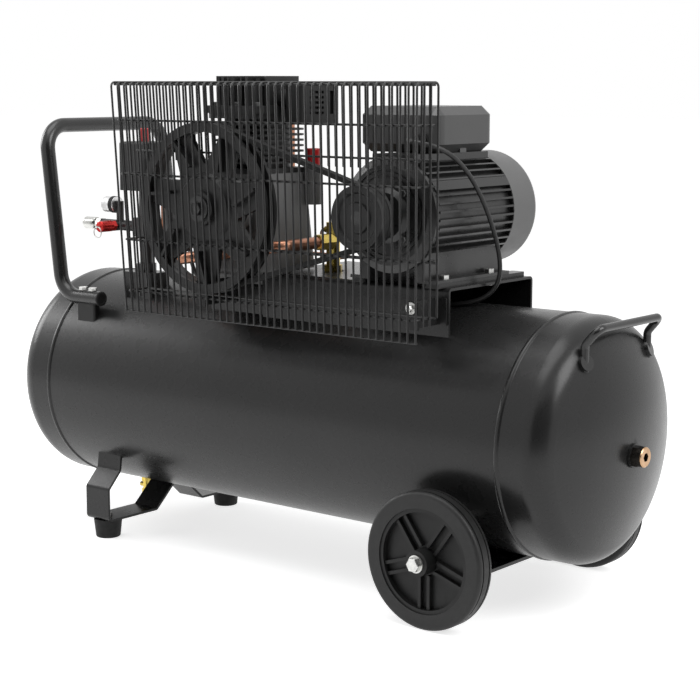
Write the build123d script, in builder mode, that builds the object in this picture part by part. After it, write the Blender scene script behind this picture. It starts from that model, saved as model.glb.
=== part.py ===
from build123d import *
import math
import os

# Belt-driven workshop air compressor on a wheeled horizontal receiver, in millimetres.
# X runs along the tank with the wheels at +X, the belt guard faces -Y, and Z = 0 is the floor.

# Receiver tank
tank_r = 184.0
tank_wall = 3.0
tank_clear = 77.0
shell_len = 938.0
cap_skirt = 42.0
knuckle_r = 42.0
crown_r = 390.0
bead_w = 9.0
bead_h = 2.0

# Fittings welded to the tank, and the plugs in its ends
plug_drop = 14.0
plug_boss_r = 18.0
plug_boss_len = 3.0
plug_hex_af = 28.0
plug_hex_len = 8.0
plug_collar_r = 15.0
plug_collar_len = 9.0
plug_socket_af = 12.0
plug_socket_deep = 8.0
drain_x = -420.0
drain_boss_r = 11.0
drain_boss_drop = 6.0
drain_hex_af = 17.0
drain_hex_len = 8.0
drain_barrel_r = 7.0
drain_barrel_len = 15.0
drain_stem_r = 3.0
drain_wing_w = 24.0
drain_wing_t = 5.0
drain_wing_h = 10.0

# General fits
run_fit = 0.05
seat_gap = 0.3
bolt_r = 4.0
bolt_head_af = 13.0
bolt_head_h = 5.5
bolt_hole_fit = 0.3

# Foot strap and rubber feet
strap_x = -364.0
strap_w = 55.0
strap_t = 4.0
strap_bend_r = 9.0
strap_tab_deg = 50.0
strap_tab_len = 24.0
strap_shoulder_h = 58.0
foot_inset = 35.5
foot_h = 32.0
foot_top_r = 24.5
foot_bottom_r = 21.0
foot_edge = 24.0
strap_floor_len = 116.0

# Wheels, axle bolts and their bracket
wheel_x = 374.0
wheel_r = 101.5
wheel_w = 32.0
wheel_out = 44.0
tyre_depth = 24.0
tyre_round = 6.0
tyre_groove_w = 2.5
tyre_groove_deep = 1.5
tyre_groove_in = 9.0
rim_ring = 6.0
rim_w = 28.0
web_t = 8.0
hub_r = 19.0
hub_out = 13.5
rib_pairs = 5
rib_t = 5.0
rib_gap = 11.0
rib_out = 7.0
axle_r = 6.0
axle_head_af = 19.0
axle_head_h = 8.0
washer_r = 13.0
washer_t = 2.0
nut_h = 10.0
bracket_w = 102.0
bracket_t = 5.0
bracket_top_z = 130.0
bracket_bend_r = 10.0

# Pull handle at the left end
handle_od = 25.0
handle_wall = 2.0
handle_inset = 44.0
handle_end_x = -380.0
handle_low_x = -475.0
handle_rise = 31.6
handle_top_x = -510.0
handle_h = 292.0
handle_bend_r = 42.0
clamp_x = -411.0
clamp_len = 44.0
clamp_w = 14.0
clamp_cradle = 5.0
clamp_pitch = 24.0

# Carry handle on the right end cap
carry_bar_r = 6.0
carry_foot_y = 87.0
carry_foot_drop = 56.0
carry_leg = 26.0
carry_reach = 21.0
carry_rise = 24.0
carry_bend_r = 13.0
carry_pad_r = 12.0
carry_pad_t = 6.0

# Motor deck and pump saddle, two inverted channels welded to the tank
deck_x0 = -33.0
deck_x1 = 333.0
deck_half_w = 111.0
deck_rise = 35.0
deck_t = 4.0
deck_bend_r = 7.0
saddle_x0 = -150.0
saddle_x1 = -37.0
saddle_half_w = 107.0
saddle_rise = 13.0

# Shafts and belt drive
shaft_rise = 105.0
motor_x = 243.0
pump_x = -65.0
belt_y = -202.0
flywheel_r = 133.0
flywheel_w = 26.0
pulley_r = 47.0
pulley_w = 26.0
belt_w = 13.0
belt_inner_w = 8.4
belt_h = 8.0
belt_sink = 1.0
belt_gap = 0.4

# Flywheel details
fly_rim_t = 15.0
fly_hub_r = 27.0
fly_hub_len = 38.0
fly_web_t = 9.0
fly_disc_r = 50.0
fly_disc_rise = 6.0
fly_openings = 7
fly_opening_tip_r = 66.0
fly_opening_deg = 33.0
fly_opening_round = 4.0
fly_blade_t = 5.0
fly_blade_h = 13.0
fly_blade_lean = 18.0
fly_nose_r = 12.5
fly_washer_r = 20.0
fly_washer_t = 3.0
fly_bolt_af = 19.0
fly_bolt_h = 8.0

# Electric motor
motor_r = 88.0
motor_core_r = 80.0
motor_bore_r = 64.0
motor_y0 = -130.0
motor_y1 = 60.0
motor_fin_t = 3.2
motor_fins_side = 13
motor_fin_low_deg = -36.0
motor_fin_span = 98.0
motor_band_deg = 31.0
motor_band_w = 15.0
motor_pad_w = 76.0
motor_pad_rise = 1.0
motor_foot_t = 5.0
motor_foot_half = 80.0
motor_foot_web_half = 60.0
motor_foot_arch_half = 46.0
motor_foot_arch_h = 26.0
motor_bolt_dx = 69.0
motor_bolt_dy = 58.0
rail_w = 24.0
rail_h = 7.0
rail_y0 = -127.0
rail_y1 = 103.0
shield_r = 86.0
shield_t = 7.0
shield_dish_r = 74.0
shield_boss_r = 34.0
shield_len = 20.0
shield_ring_r = 58.0
shield_ring_w = 4.0
shield_ring_deep = 3.0
rotor_r = 62.0
rotor_y0 = -105.0
rotor_y1 = 38.0
motor_shaft_r = 10.0
motor_bearing_r = 23.5
motor_bearing_w = 14.0
cover_r = 88.0
cover_wall = 1.6
cover_end_y = 128.0
cover_round = 12.0
cover_slots = 20
cover_slot_w = 5.0
cover_slot_r0 = 24.0
cover_slot_r1 = 70.0
fan_r = 68.0
fan_hub_r = 17.0
fan_len = 24.0
fan_blades = 9
fan_blade_t = 3.0
fan_disc_t = 3.0

# Terminal box on the motor, in two halves
box_x = 214.0
box_y = -9.0
box_len_x = 152.0
box_len_y = 141.0
box_base_h = 35.0
box_lid_h = 34.0
box_chamfer = 13.0
box_round = 15.0
box_wall = 2.5
box_lug_w = 16.0

# Motor cable and its two glands
cable_d = 7.0
gland_r = 8.0
gland_len = 14.0
gland_hex_af = 18.0
gland_hex_len = 5.0
box_gland_x = 262.0
box_gland_rise = 20.0
switch_gland_rise = 17.0

# Pump: crankcase, finned cylinder block, head, air filter
pump_y = -84.0
case_foot_x0 = -148.0
case_foot_x1 = -39.0
case_foot_y0 = -103.0
case_foot_y1 = -22.0
case_foot_t = 12.0
case_deck_gap = 4.0
case_low_w = 154.0
case_low_len = 124.0
case_top_w = 116.0
case_rise = 51.0
case_round = 22.0
crank_room_r = 50.0
snout_r = 45.0
snout_len = 12.0
crank_r = 15.0
crank_bearing_r = 31.0
crank_bearing_w = 16.0
crank_throw = 20.0
crank_pin_r = 11.0
crank_web_r = 40.0
crank_web_t = 10.0
bore_r = 25.5
bore_pitch = 56.0
block_w = 110.0
block_len = 122.0
block_core_w = 84.0
block_core_len = 104.0
block_h = 94.0
block_flange_t = 8.0
block_round = 20.0
block_fins = 8
block_fin_t = 3.2
head_base_t = 12.0
head_h = 58.0
head_w = 122.0
head_len = 124.0
head_fins = 9
head_fin_t = 5.0
head_port_rise = 26.0
head_port_r = 15.0
head_port_len = 10.0
head_port_shift = -30.0
head_bolt_dx = 46.0
head_bolt_dy = 50.0
filter_w = 38.0
filter_len = 96.0
filter_offset_y = 24.0
filter_drop = 16.0
filter_h = 66.0
filter_round = 11.0
filter_neck_len = 14.0
filter_slot_w = 9.0
filter_slot_h = 4.0
filter_slot_deep = 4.0
oil_x = 6.0
oil_y = -32.0
oil_boss_r = 14.0
oil_boss_rise = 58.0
oil_cap_r = 12.0
oil_cap_h = 31.0
oil_stem_r = 6.0
oil_stem_len = 20.0

# Belt guard, a welded wire cage
guard_x0 = -230.0
guard_x1 = 368.0
guard_front_y = -237.0
guard_rear_y = -184.0
guard_bottom_drop = 171.0
guard_rail_drop = 139.0
guard_low_drop = 57.0
guard_high_rise = 47.0
guard_upper_rise = 132.0
guard_top_rise = 195.0
guard_wire = 3.4
guard_gaps = 42
guard_end_gaps = 3
guard_rear_rail_rise = 83.0
guard_rear_low_drop = 61.0
guard_bracket_t = 4.0
guard_bracket_h = 40.0
guard_bracket_drop = 159.0
guard_bracket_right_x = 311.0
guard_bracket_left_x = -110.0

# Check valve, pipes and controls
valve_x = 46.0
valve_y = -30.0
valve_boss_r = 15.0
valve_boss_rise = 23.0
valve_hex_af = 27.0
valve_hex_h = 22.0
valve_body_r = 11.0
valve_h = 90.0
valve_port_rise = 60.0
valve_port_len = 12.0
valve_port_r = 12.0
deck_hole_gap = 4.0
pipe_r = 9.5
pipe_wall = 1.2
pipe_bend_r = 28.0
pipe_drop_x = -196.0
pipe_back_y = 26.0
pipe_cross_y = -157.5
pipe_low_rise = 12.0
tube_r = 3.0
tube_bend_r = 8.0
tube_back_y = 44.0
tube_drop_x = 22.0
tube_port_drop = 12.0
tube_low_rise = 16.0
control_x = -328.0
control_y = -80.0
pedestal_w = 66.0
pedestal_len = 46.0
pedestal_rise = 13.0
riser_r = 11.0
collar_af = 30.0
collar_h = 14.0
manifold_rise = 76.0
manifold_r = 9.0
manifold_end_x = -434.0
manifold_block = 32.0
tee_x = -391.0
stub_r = 6.5
gauge_rise = 35.0
gauge_r = 14.0
gauge_len = 26.0
gauge_lip = 1.6
gauge_dial_deep = 4.0
needle_len = 9.5
needle_t = 0.8
needle_pin_r = 1.2
needle_zero_deg = -45.0
safety_hex_af = 17.0
safety_hex_len = 8.0
safety_r = 9.5
safety_len = 26.0
safety_stem_r = 2.0
ring_r = 9.0
ring_wire_r = 1.0
coupler_r = 8.5
coupler_len = 44.0
sleeve_r = 11.0
sleeve_len = 26.0
sleeve_back = 10.0
switch_w = 70.0
switch_len = 60.0
switch_rise = 139.0
switch_h = 82.0
switch_round = 8.0
knob_r = 8.0
knob_h = 22.0
knob_stem_r = 4.0
knob_stem_len = 14.0

# Places worked out from the sizes above
tank_axis_z = tank_clear + tank_r
tank_top_z = tank_axis_z + tank_r
tank_bottom_z = tank_axis_z - tank_r
seam_x = shell_len / 2
crown_x = cap_skirt - math.sqrt((crown_r - knuckle_r) ** 2 - (tank_r - knuckle_r) ** 2)
crown_deg = math.degrees(math.atan2(tank_r - knuckle_r, cap_skirt - crown_x))
apex_x = seam_x + crown_x + crown_r
plug_z = tank_axis_z - plug_drop
foot_y = tank_r - foot_inset
wheel_face_y = tank_r + wheel_out
handle_y = tank_r - handle_inset
handle_low_z = tank_axis_z + math.sqrt(tank_r**2 - handle_y**2) + handle_rise
handle_top_z = handle_low_z + handle_h
carry_foot_z = tank_top_z - carry_foot_drop
deck_top_z = tank_top_z + deck_rise
saddle_top_z = tank_top_z + saddle_rise
shaft_z = deck_top_z + shaft_rise
motor_top_z = shaft_z + motor_r + motor_pad_rise
box_gland_z = motor_top_z + box_gland_rise
case_top_z = shaft_z + case_rise
block_top_z = case_top_z + block_h
head_top_z = block_top_z + head_h
head_port_z = block_top_z + head_port_rise
filter_z0 = block_top_z - filter_drop
filter_z1 = filter_z0 + filter_h
oil_boss_z = shaft_z + oil_boss_rise
guard_bottom_z = shaft_z - guard_bottom_drop
guard_rail_z = shaft_z - guard_rail_drop
guard_low_z = shaft_z - guard_low_drop
guard_high_z = shaft_z + guard_high_rise
guard_upper_z = shaft_z + guard_upper_rise
guard_top_z = shaft_z + guard_top_rise
guard_rear_rail_z = shaft_z + guard_rear_rail_rise
guard_rear_low_z = shaft_z - guard_rear_low_drop
guard_bracket_z = shaft_z - guard_bracket_drop
valve_boss_z = tank_top_z + valve_boss_rise
valve_top_z = valve_boss_z + valve_h
valve_port_z = valve_boss_z + valve_port_rise
pipe_low_z = deck_top_z + pipe_low_rise
tube_low_z = deck_top_z + tube_low_rise
pedestal_top_z = tank_top_z + pedestal_rise
manifold_z = pedestal_top_z + manifold_rise
gauge_z = manifold_z + gauge_rise
switch_z0 = pedestal_top_z + switch_rise
switch_z1 = switch_z0 + switch_h
switch_gland_z = switch_z0 + switch_gland_rise
block_bottom_z = case_top_z
case_front_y = pump_y - case_low_len / 2
case_rear_y = pump_y + case_low_len / 2
crank_room_len = case_low_len - 2 * crank_bearing_w - snout_len


def front_plane(y, x=0.0, z=0.0):
    """Sketch plane that faces the guard side: local x is X, local y is Z, normal is -Y."""
    return Plane(origin=(x, y, z), x_dir=(1, 0, 0), z_dir=(0, -1, 0))


def side_plane(x, y=0.0, z=0.0):
    """Sketch plane that faces the wheel end: local x is Y, local y is Z, normal is +X."""
    return Plane(origin=(x, y, z), x_dir=(0, 1, 0), z_dir=(1, 0, 0))


def level(z, x=0.0, y=0.0):
    """Level sketch plane at height z, with its origin over (x, y)."""
    return Plane(origin=(x, y, z))


def turning_plane(y, x, z, forward):
    """Plane for a profile turned about a shaft: local x runs along the shaft, local y up."""
    along = -1 if forward else 1
    return Plane(origin=(x, y, z), x_dir=(0, along, 0), z_dir=(along, 0, 0))


def shaft_axis(x):
    """Axis of the flywheel's or the motor's shaft."""
    return Axis((x, 0, shaft_z), (0, 1, 0))


def cut_by_tank():
    """Take the tank's outer cylinder out of the piece being built, so that it seats on the shell."""
    with Locations(Location((0, 0, tank_axis_z), (0, 90, 0))):
        Cylinder(tank_r, 2 * apex_x, mode=Mode.SUBTRACT)


def arc_points(centre_x, centre_y, radius, start_deg, end_deg):
    """Start, middle and end of an arc about a centre."""
    angles = [math.radians(deg) for deg in (start_deg, (start_deg + end_deg) / 2, end_deg)]
    return [(centre_x + radius * math.cos(a), centre_y + radius * math.sin(a)) for a in angles]


def knuckle_arc(inset, start_deg, end_deg):
    """Tight bend of the end cap's profile, set in by the wall or not."""
    return arc_points(cap_skirt, tank_r - knuckle_r, knuckle_r - inset, start_deg, end_deg)


def crown_arc(inset, start_deg, end_deg):
    """Shallow dish of the end cap's profile, set in by the wall or not."""
    return arc_points(crown_x, 0, crown_r - inset, start_deg, end_deg)


def hex_bolt(across_flats, head_h, shank_r, shank_len):
    """Hex bolt with the underside of its head at the origin, pointing down."""
    with BuildPart() as bolt:
        with BuildSketch():
            RegularPolygon(across_flats / 2, 6, major_radius=False)
        extrude(amount=head_h)
        with BuildSketch():
            Circle(shank_r)
        extrude(amount=-shank_len)
        chamfer(bolt.faces().sort_by(Axis.Z)[-1].edges(), head_h / 8)
    return bolt.part


def cord_radii(points):
    """Bend radius for each inner point of a cord's route: 0.45 of its shorter run."""
    radii = []
    for before, here, after in zip(points, points[1:], points[2:]):
        run_in = Vector(*here) - Vector(*before)
        run_out = Vector(*after) - Vector(*here)
        turn = math.radians(run_in.get_angle(run_out))
        radii.append(0.45 * min(run_in.length, run_out.length) / math.tan(turn / 2))
    return radii


def finish(piece, name):
    """Name a finished sub-part and write it."""
    piece.part.label = name
    export_step(piece.part, f"parts/{name}.step")


os.makedirs("parts", exist_ok=True)

# Tank shell: a rolled tube, open at both seams
with BuildPart() as tank_shell:
    with BuildSketch(side_plane(-seam_x, 0, tank_axis_z)):
        Circle(tank_r)
        Circle(tank_r - tank_wall, mode=Mode.SUBTRACT)
    extrude(amount=shell_len)
finish(tank_shell, "tank_shell")

# Right end cap: a dished end with a short skirt, and the weld bead over its seam
with BuildPart() as end_cap_right:
    with BuildSketch(front_plane(0, seam_x, tank_axis_z)):
        with BuildLine():
            Line((0, tank_r - tank_wall), (0, tank_r))
            Line((0, tank_r), (cap_skirt, tank_r))
            ThreePointArc(*knuckle_arc(0, 90, crown_deg))
            ThreePointArc(*crown_arc(0, crown_deg, 0))
            Line((crown_x + crown_r, 0), (crown_x + crown_r - tank_wall, 0))
            ThreePointArc(*crown_arc(tank_wall, 0, crown_deg))
            ThreePointArc(*knuckle_arc(tank_wall, crown_deg, 90))
            Line((cap_skirt, tank_r - tank_wall), (0, tank_r - tank_wall))
        make_face()
        with BuildLine():
            Line((-bead_w / 2, tank_r), (bead_w / 2, tank_r))
            ThreePointArc((bead_w / 2, tank_r), (0, tank_r + bead_h), (-bead_w / 2, tank_r))
        make_face()
    revolve(axis=Axis((0, 0, tank_axis_z), (1, 0, 0)))
finish(end_cap_right, "end_cap_right")

with BuildPart() as end_cap_left:
    mirror(end_cap_right.part, about=Plane.YZ)
finish(end_cap_left, "end_cap_left")

# Outer form of the right cap, solid, for seating the plug's socket and the carry handle on it
with BuildPart() as cap_form:
    with BuildSketch(front_plane(0, seam_x, tank_axis_z)):
        with BuildLine():
            Line((0, 0), (0, tank_r))
            Line((0, tank_r), (cap_skirt, tank_r))
            ThreePointArc(*knuckle_arc(0, 90, crown_deg))
            ThreePointArc(*crown_arc(0, crown_deg, 0))
            Line((crown_x + crown_r, 0), (0, 0))
        make_face()
    revolve(axis=Axis((0, 0, tank_axis_z), (1, 0, 0)))

# Welded sockets and the pedestal of the control group
with BuildPart() as tank_bosses:
    with BuildSketch(side_plane(apex_x + plug_boss_len, 0, plug_z)):
        Circle(plug_boss_r)
    extrude(amount=-2 * plug_boss_len)
    add(cap_form.part, mode=Mode.SUBTRACT)
    mirror(about=Plane.YZ)
    with BuildSketch(level(tank_axis_z, valve_x, valve_y)):
        Circle(valve_boss_r)
    extrude(amount=valve_boss_z - tank_axis_z)
    with BuildSketch(level(tank_axis_z, control_x, control_y)):
        RectangleRounded(pedestal_w, pedestal_len, strap_t)
    extrude(amount=pedestal_top_z - tank_axis_z)
    with BuildSketch(level(tank_bottom_z - drain_boss_drop, drain_x, 0)):
        Circle(drain_boss_r)
    extrude(amount=tank_r)
    cut_by_tank()
finish(tank_bosses, "tank_bosses")

# Hex plugs in both ends, with a socket in the face
plug_x = apex_x + plug_boss_len
with BuildPart() as inspection_plugs:
    with BuildSketch(side_plane(plug_x, 0, plug_z)):
        RegularPolygon(plug_hex_af / 2, 6, major_radius=False)
    extrude(amount=plug_hex_len)
    with BuildSketch(side_plane(plug_x + plug_hex_len, 0, plug_z)):
        Circle(plug_collar_r)
    extrude(amount=plug_collar_len)
    chamfer(inspection_plugs.faces().sort_by(Axis.X)[-1].edges(), plug_collar_r / 12)
    with BuildSketch(side_plane(plug_x + plug_hex_len + plug_collar_len, 0, plug_z)):
        RegularPolygon(plug_socket_af / 2, 6, major_radius=False)
    extrude(amount=-plug_socket_deep, mode=Mode.SUBTRACT)
    mirror(about=Plane.YZ)
finish(inspection_plugs, "inspection_plugs")

# Drain cock under the tank, with a bore for the stem of its wing knob
drain_z = tank_bottom_z - drain_boss_drop
drain_low_z = drain_z - drain_hex_len - drain_barrel_len
with BuildPart() as drain_cock:
    with BuildSketch(level(drain_z, drain_x)):
        RegularPolygon(drain_hex_af / 2, 6, major_radius=False)
    extrude(amount=-drain_hex_len)
    with BuildSketch(level(drain_low_z, drain_x)):
        Circle(drain_barrel_r)
    extrude(amount=drain_barrel_len)
    with BuildSketch(side_plane(drain_x, 0, drain_low_z + drain_barrel_len / 2)):
        Circle(drain_barrel_r * 0.6)
    extrude(amount=-2 * drain_barrel_r)
    with BuildSketch(level(drain_low_z, drain_x)):
        Circle(drain_stem_r + run_fit)
    extrude(amount=drain_barrel_len - drain_stem_r, mode=Mode.SUBTRACT)
finish(drain_cock, "drain_cock")

with BuildPart() as drain_knob:
    with BuildSketch(level(drain_low_z - seat_gap, drain_x)):
        SlotOverall(drain_wing_w, drain_wing_t)
        Circle(drain_barrel_r)
    extrude(amount=-drain_wing_h)
    with BuildSketch(level(drain_low_z - seat_gap, drain_x)):
        Circle(drain_stem_r)
    extrude(amount=drain_barrel_len - 2 * drain_stem_r)
finish(drain_knob, "drain_knob")

# Foot strap: one flat bar bent down from the tank, along the floor and up again under the middle
tab_y = tank_r * math.sin(math.radians(strap_tab_deg))
tab_z = tank_axis_z - tank_r * math.cos(math.radians(strap_tab_deg))
strap_out_y = foot_y + foot_edge
strap_half = [
    (-tab_y, tab_z + strap_tab_len / 3),
    (-tab_y - strap_t, tab_z - strap_tab_len),
    (-strap_out_y, foot_h + strap_shoulder_h),
    (-strap_out_y, foot_h),
    (-strap_out_y + strap_floor_len, foot_h),
    (-3 * strap_t, tank_bottom_z - strap_t),
]
strap_path = strap_half + [(-y, z) for y, z in reversed(strap_half)]
foot_bolt_places = [(strap_x, side * foot_y, foot_h + strap_t) for side in (-1, 1)]
with BuildPart() as foot_strap:
    with BuildSketch(side_plane(strap_x - strap_w / 2)):
        with BuildLine():
            FilletPolyline(*strap_path, radius=strap_bend_r)
            offset(amount=strap_t, side=Side.LEFT)
        make_face()
    extrude(amount=strap_w)
    cut_by_tank()
    with Locations(*foot_bolt_places):
        Cylinder(bolt_r + bolt_hole_fit, 4 * strap_t, mode=Mode.SUBTRACT)
finish(foot_strap, "foot_strap")

# Tapered rubber feet
with BuildPart() as rubber_feet:
    with Locations(*[(strap_x, side * foot_y, foot_h / 2) for side in (-1, 1)]):
        Cone(foot_bottom_r, foot_top_r, foot_h)
        Cylinder(bolt_r + bolt_hole_fit, foot_h, mode=Mode.SUBTRACT)
    fillet(rubber_feet.edges().group_by(Axis.Z)[0].filter_by(
        lambda edge: edge.radius > foot_bottom_r / 2), foot_bottom_r / 8)
finish(rubber_feet, "rubber_feet")

# Wheel bracket: a plate under the tank with both ends bent up
bracket_y = wheel_face_y - wheel_w - hub_out - seat_gap
with BuildPart() as wheel_bracket:
    with BuildSketch(side_plane(wheel_x - bracket_w / 2)):
        with BuildLine():
            FilletPolyline(
                (-bracket_y, bracket_top_z),
                (-bracket_y, tank_bottom_z - bracket_t),
                (bracket_y, tank_bottom_z - bracket_t),
                (bracket_y, bracket_top_z),
                radius=bracket_bend_r,
            )
            offset(amount=bracket_t, side=Side.LEFT)
        make_face()
    extrude(amount=bracket_w)
    fillet(wheel_bracket.edges().filter_by(Axis.Y).group_by(Axis.Z)[-1], bracket_w / 4)
    with Locations(Location((wheel_x, 0, wheel_r), (90, 0, 0))):
        Cylinder(axle_r + bolt_hole_fit, 3 * bracket_y, mode=Mode.SUBTRACT)
finish(wheel_bracket, "wheel_bracket")

# Axle bolts with their washers, and the nuts inside the bracket
hub_face_y = wheel_face_y + hub_out
washer_y = hub_face_y + seat_gap
with BuildPart() as axle_bolts:
    with BuildSketch(front_plane(-washer_y, wheel_x, wheel_r)):
        Circle(washer_r)
    extrude(amount=washer_t)
    with BuildSketch(front_plane(-washer_y - washer_t, wheel_x, wheel_r)):
        RegularPolygon(axle_head_af / 2, 6, major_radius=False)
    extrude(amount=axle_head_h)
    chamfer(axle_bolts.faces().sort_by(Axis.Y)[0].edges(), axle_head_h / 8)
    with BuildSketch(front_plane(-washer_y, wheel_x, wheel_r)):
        Circle(axle_r)
    extrude(amount=-(washer_y - bracket_y + bracket_t + nut_h))
    with BuildSketch(front_plane(-(bracket_y - bracket_t), wheel_x, wheel_r)):
        RegularPolygon(axle_head_af / 2, 6, major_radius=False)
    extrude(amount=-nut_h)
    mirror(about=Plane.XZ)
finish(axle_bolts, "axle_bolts")

# Wheels: a ribbed plastic rim with a hub, and a solid rubber tyre, alike at front and rear
rim_r = wheel_r - tyre_depth
wheel_mid_y = wheel_face_y - wheel_w / 2
hub_len = wheel_w + 2 * hub_out
with BuildPart() as wheel_rim_front:
    with BuildSketch(front_plane(-wheel_mid_y + web_t / 2, wheel_x, wheel_r)):
        Circle(rim_r)
    extrude(amount=web_t)
    with BuildSketch(front_plane(-wheel_mid_y + rim_w / 2, wheel_x, wheel_r)):
        Circle(rim_r)
        Circle(rim_r - rim_ring, mode=Mode.SUBTRACT)
    extrude(amount=rim_w)
    with BuildSketch(front_plane(-wheel_mid_y + hub_len / 2, wheel_x, wheel_r)):
        Circle(hub_r)
    extrude(amount=hub_len)
    with BuildSketch(front_plane(-wheel_mid_y + web_t / 2 + rib_out, wheel_x, wheel_r)):
        with PolarLocations((hub_r + rim_r) / 2, rib_pairs, start_angle=-90):
            with Locations((0, (rib_gap + rib_t) / 2), (0, -(rib_gap + rib_t) / 2)):
                Rectangle(rim_r - hub_r - rim_ring / 2, rib_t)
    extrude(amount=web_t + 2 * rib_out)
    with BuildSketch(front_plane(-wheel_mid_y + hub_len / 2, wheel_x, wheel_r)):
        Circle(axle_r + run_fit)
    extrude(amount=hub_len, mode=Mode.SUBTRACT)
finish(wheel_rim_front, "wheel_rim_front")

with BuildPart() as wheel_tyre_front:
    with BuildSketch(front_plane(-wheel_mid_y + wheel_w / 2, wheel_x, wheel_r)):
        Circle(wheel_r)
        Circle(rim_r, mode=Mode.SUBTRACT)
    extrude(amount=wheel_w)
    tread_edges = wheel_tyre_front.edges().filter_by(GeomType.CIRCLE)
    fillet(tread_edges.filter_by(lambda edge: edge.radius > rim_r + tyre_depth / 2), tyre_round)
    for groove_y in (wheel_w / 2 - tyre_groove_in, tyre_groove_in - wheel_w / 2):
        with BuildSketch(front_plane(-wheel_mid_y + groove_y + tyre_groove_w / 2, wheel_x, wheel_r)):
            Circle(wheel_r)
            Circle(wheel_r - tyre_groove_deep, mode=Mode.SUBTRACT)
        extrude(amount=tyre_groove_w, mode=Mode.SUBTRACT)
finish(wheel_tyre_front, "wheel_tyre_front")

with BuildPart() as wheel_rim_rear:
    mirror(wheel_rim_front.part, about=Plane.XZ)
finish(wheel_rim_rear, "wheel_rim_rear")

with BuildPart() as wheel_tyre_rear:
    mirror(wheel_tyre_front.part, about=Plane.XZ)
finish(wheel_tyre_rear, "wheel_tyre_rear")

# Pull handle: one bent tube, bolted down at both open ends
handle_half = [
    (handle_end_x, -handle_y, handle_low_z),
    (handle_low_x, -handle_y, handle_low_z),
    (handle_top_x, -handle_y, handle_top_z),
]
handle_route = handle_half + [(x, -y, z) for x, y, z in reversed(handle_half)]
handle_bolt_xs = [clamp_x - clamp_pitch / 2, clamp_x + clamp_pitch / 2]
handle_bolt_places = [(x, side * handle_y, 0) for x in handle_bolt_xs for side in (-1, 1)]
with BuildPart() as pull_handle:
    with BuildLine() as handle_line:
        FilletPolyline(*handle_route, radius=handle_bend_r)
    with BuildSketch(Plane(origin=handle_line.line @ 0, z_dir=handle_line.line % 0)):
        Circle(handle_od / 2)
        Circle(handle_od / 2 - handle_wall, mode=Mode.SUBTRACT)
    sweep(path=handle_line.line)
    with Locations(*[(x, y, handle_low_z) for x, y, z in handle_bolt_places]):
        Cylinder(bolt_r + bolt_hole_fit, 2 * handle_od, mode=Mode.SUBTRACT)
finish(pull_handle, "pull_handle")

# Blocks on the tank that cradle the ends of the handle
clamp_top_z = handle_low_z - handle_od / 2 + clamp_cradle
with BuildPart() as handle_clamps:
    for side in (-1, 1):
        with BuildSketch(level(tank_axis_z, clamp_x, side * handle_y)):
            RectangleRounded(clamp_len, clamp_w, strap_t)
        extrude(amount=clamp_top_z - tank_axis_z)
        with Locations(Location((clamp_x, side * handle_y, handle_low_z), (0, 90, 0))):
            Cylinder(handle_od / 2, 2 * clamp_len, mode=Mode.SUBTRACT)
    cut_by_tank()
    with Locations(*[(x, y, handle_low_z) for x, y, z in handle_bolt_places]):
        Cylinder(bolt_r + bolt_hole_fit, 2 * (handle_low_z - tank_axis_z), mode=Mode.SUBTRACT)
finish(handle_clamps, "handle_clamps")

# Carry handle: a round bar with two pads, seated on the right end cap
carry_foot_rise = math.hypot(carry_foot_y, carry_foot_z - tank_axis_z)
carry_foot_x = seam_x + crown_x + math.sqrt(crown_r**2 - carry_foot_rise**2)
carry_half = [
    (carry_foot_x, -carry_foot_y, carry_foot_z - 2 * carry_pad_t),
    (carry_foot_x, -carry_foot_y, carry_foot_z + carry_leg),
    (carry_foot_x + carry_reach, -carry_foot_y, carry_foot_z + carry_leg + carry_rise),
]
carry_route = carry_half + [(x, -y, z) for x, y, z in reversed(carry_half)]
carry_out = Vector(
    carry_foot_x - seam_x - crown_x, -carry_foot_y, carry_foot_z - tank_axis_z
).normalized()
carry_foot = Vector(carry_foot_x, -carry_foot_y, carry_foot_z)
with BuildPart() as carry_handle:
    with BuildLine() as carry_line:
        FilletPolyline(*carry_route, radius=carry_bend_r)
    with BuildSketch(Plane(origin=carry_line.line @ 0, z_dir=carry_line.line % 0)):
        Circle(carry_bar_r)
    sweep(path=carry_line.line)
    with BuildSketch(Plane(origin=carry_foot - carry_out * carry_pad_t, z_dir=carry_out)):
        Circle(carry_pad_r)
    extrude(amount=2 * carry_pad_t)
    mirror(about=Plane.XZ)
    add(cap_form.part, mode=Mode.SUBTRACT)
finish(carry_handle, "carry_handle")

# Motor deck: an inverted channel whose flanges stand on the tank
motor_mid_y = (motor_y0 + motor_y1) / 2
foot_low_z = deck_top_z + rail_h
motor_bolt_places = [
    (motor_x + dx, motor_mid_y + dy, foot_low_z + motor_foot_t)
    for dx in (-motor_bolt_dx, motor_bolt_dx)
    for dy in (-motor_bolt_dy, motor_bolt_dy)
]
with BuildPart() as motor_deck:
    with BuildSketch(side_plane(deck_x0)):
        with BuildLine():
            FilletPolyline(
                (-deck_half_w, tank_axis_z + tank_r / 2),
                (-deck_half_w, deck_top_z),
                (deck_half_w, deck_top_z),
                (deck_half_w, tank_axis_z + tank_r / 2),
                radius=deck_bend_r,
            )
            offset(amount=deck_t, side=Side.RIGHT)
        make_face()
    extrude(amount=deck_x1 - deck_x0)
    cut_by_tank()
    with Locations(*motor_bolt_places):
        Cylinder(bolt_r + bolt_hole_fit, 4 * (rail_h + motor_foot_t), mode=Mode.SUBTRACT)
    with Locations((valve_x, valve_y, deck_top_z)):
        Cylinder(valve_hex_af / 2 + deck_hole_gap, 4 * deck_t, mode=Mode.SUBTRACT)
finish(motor_deck, "motor_deck")

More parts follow.
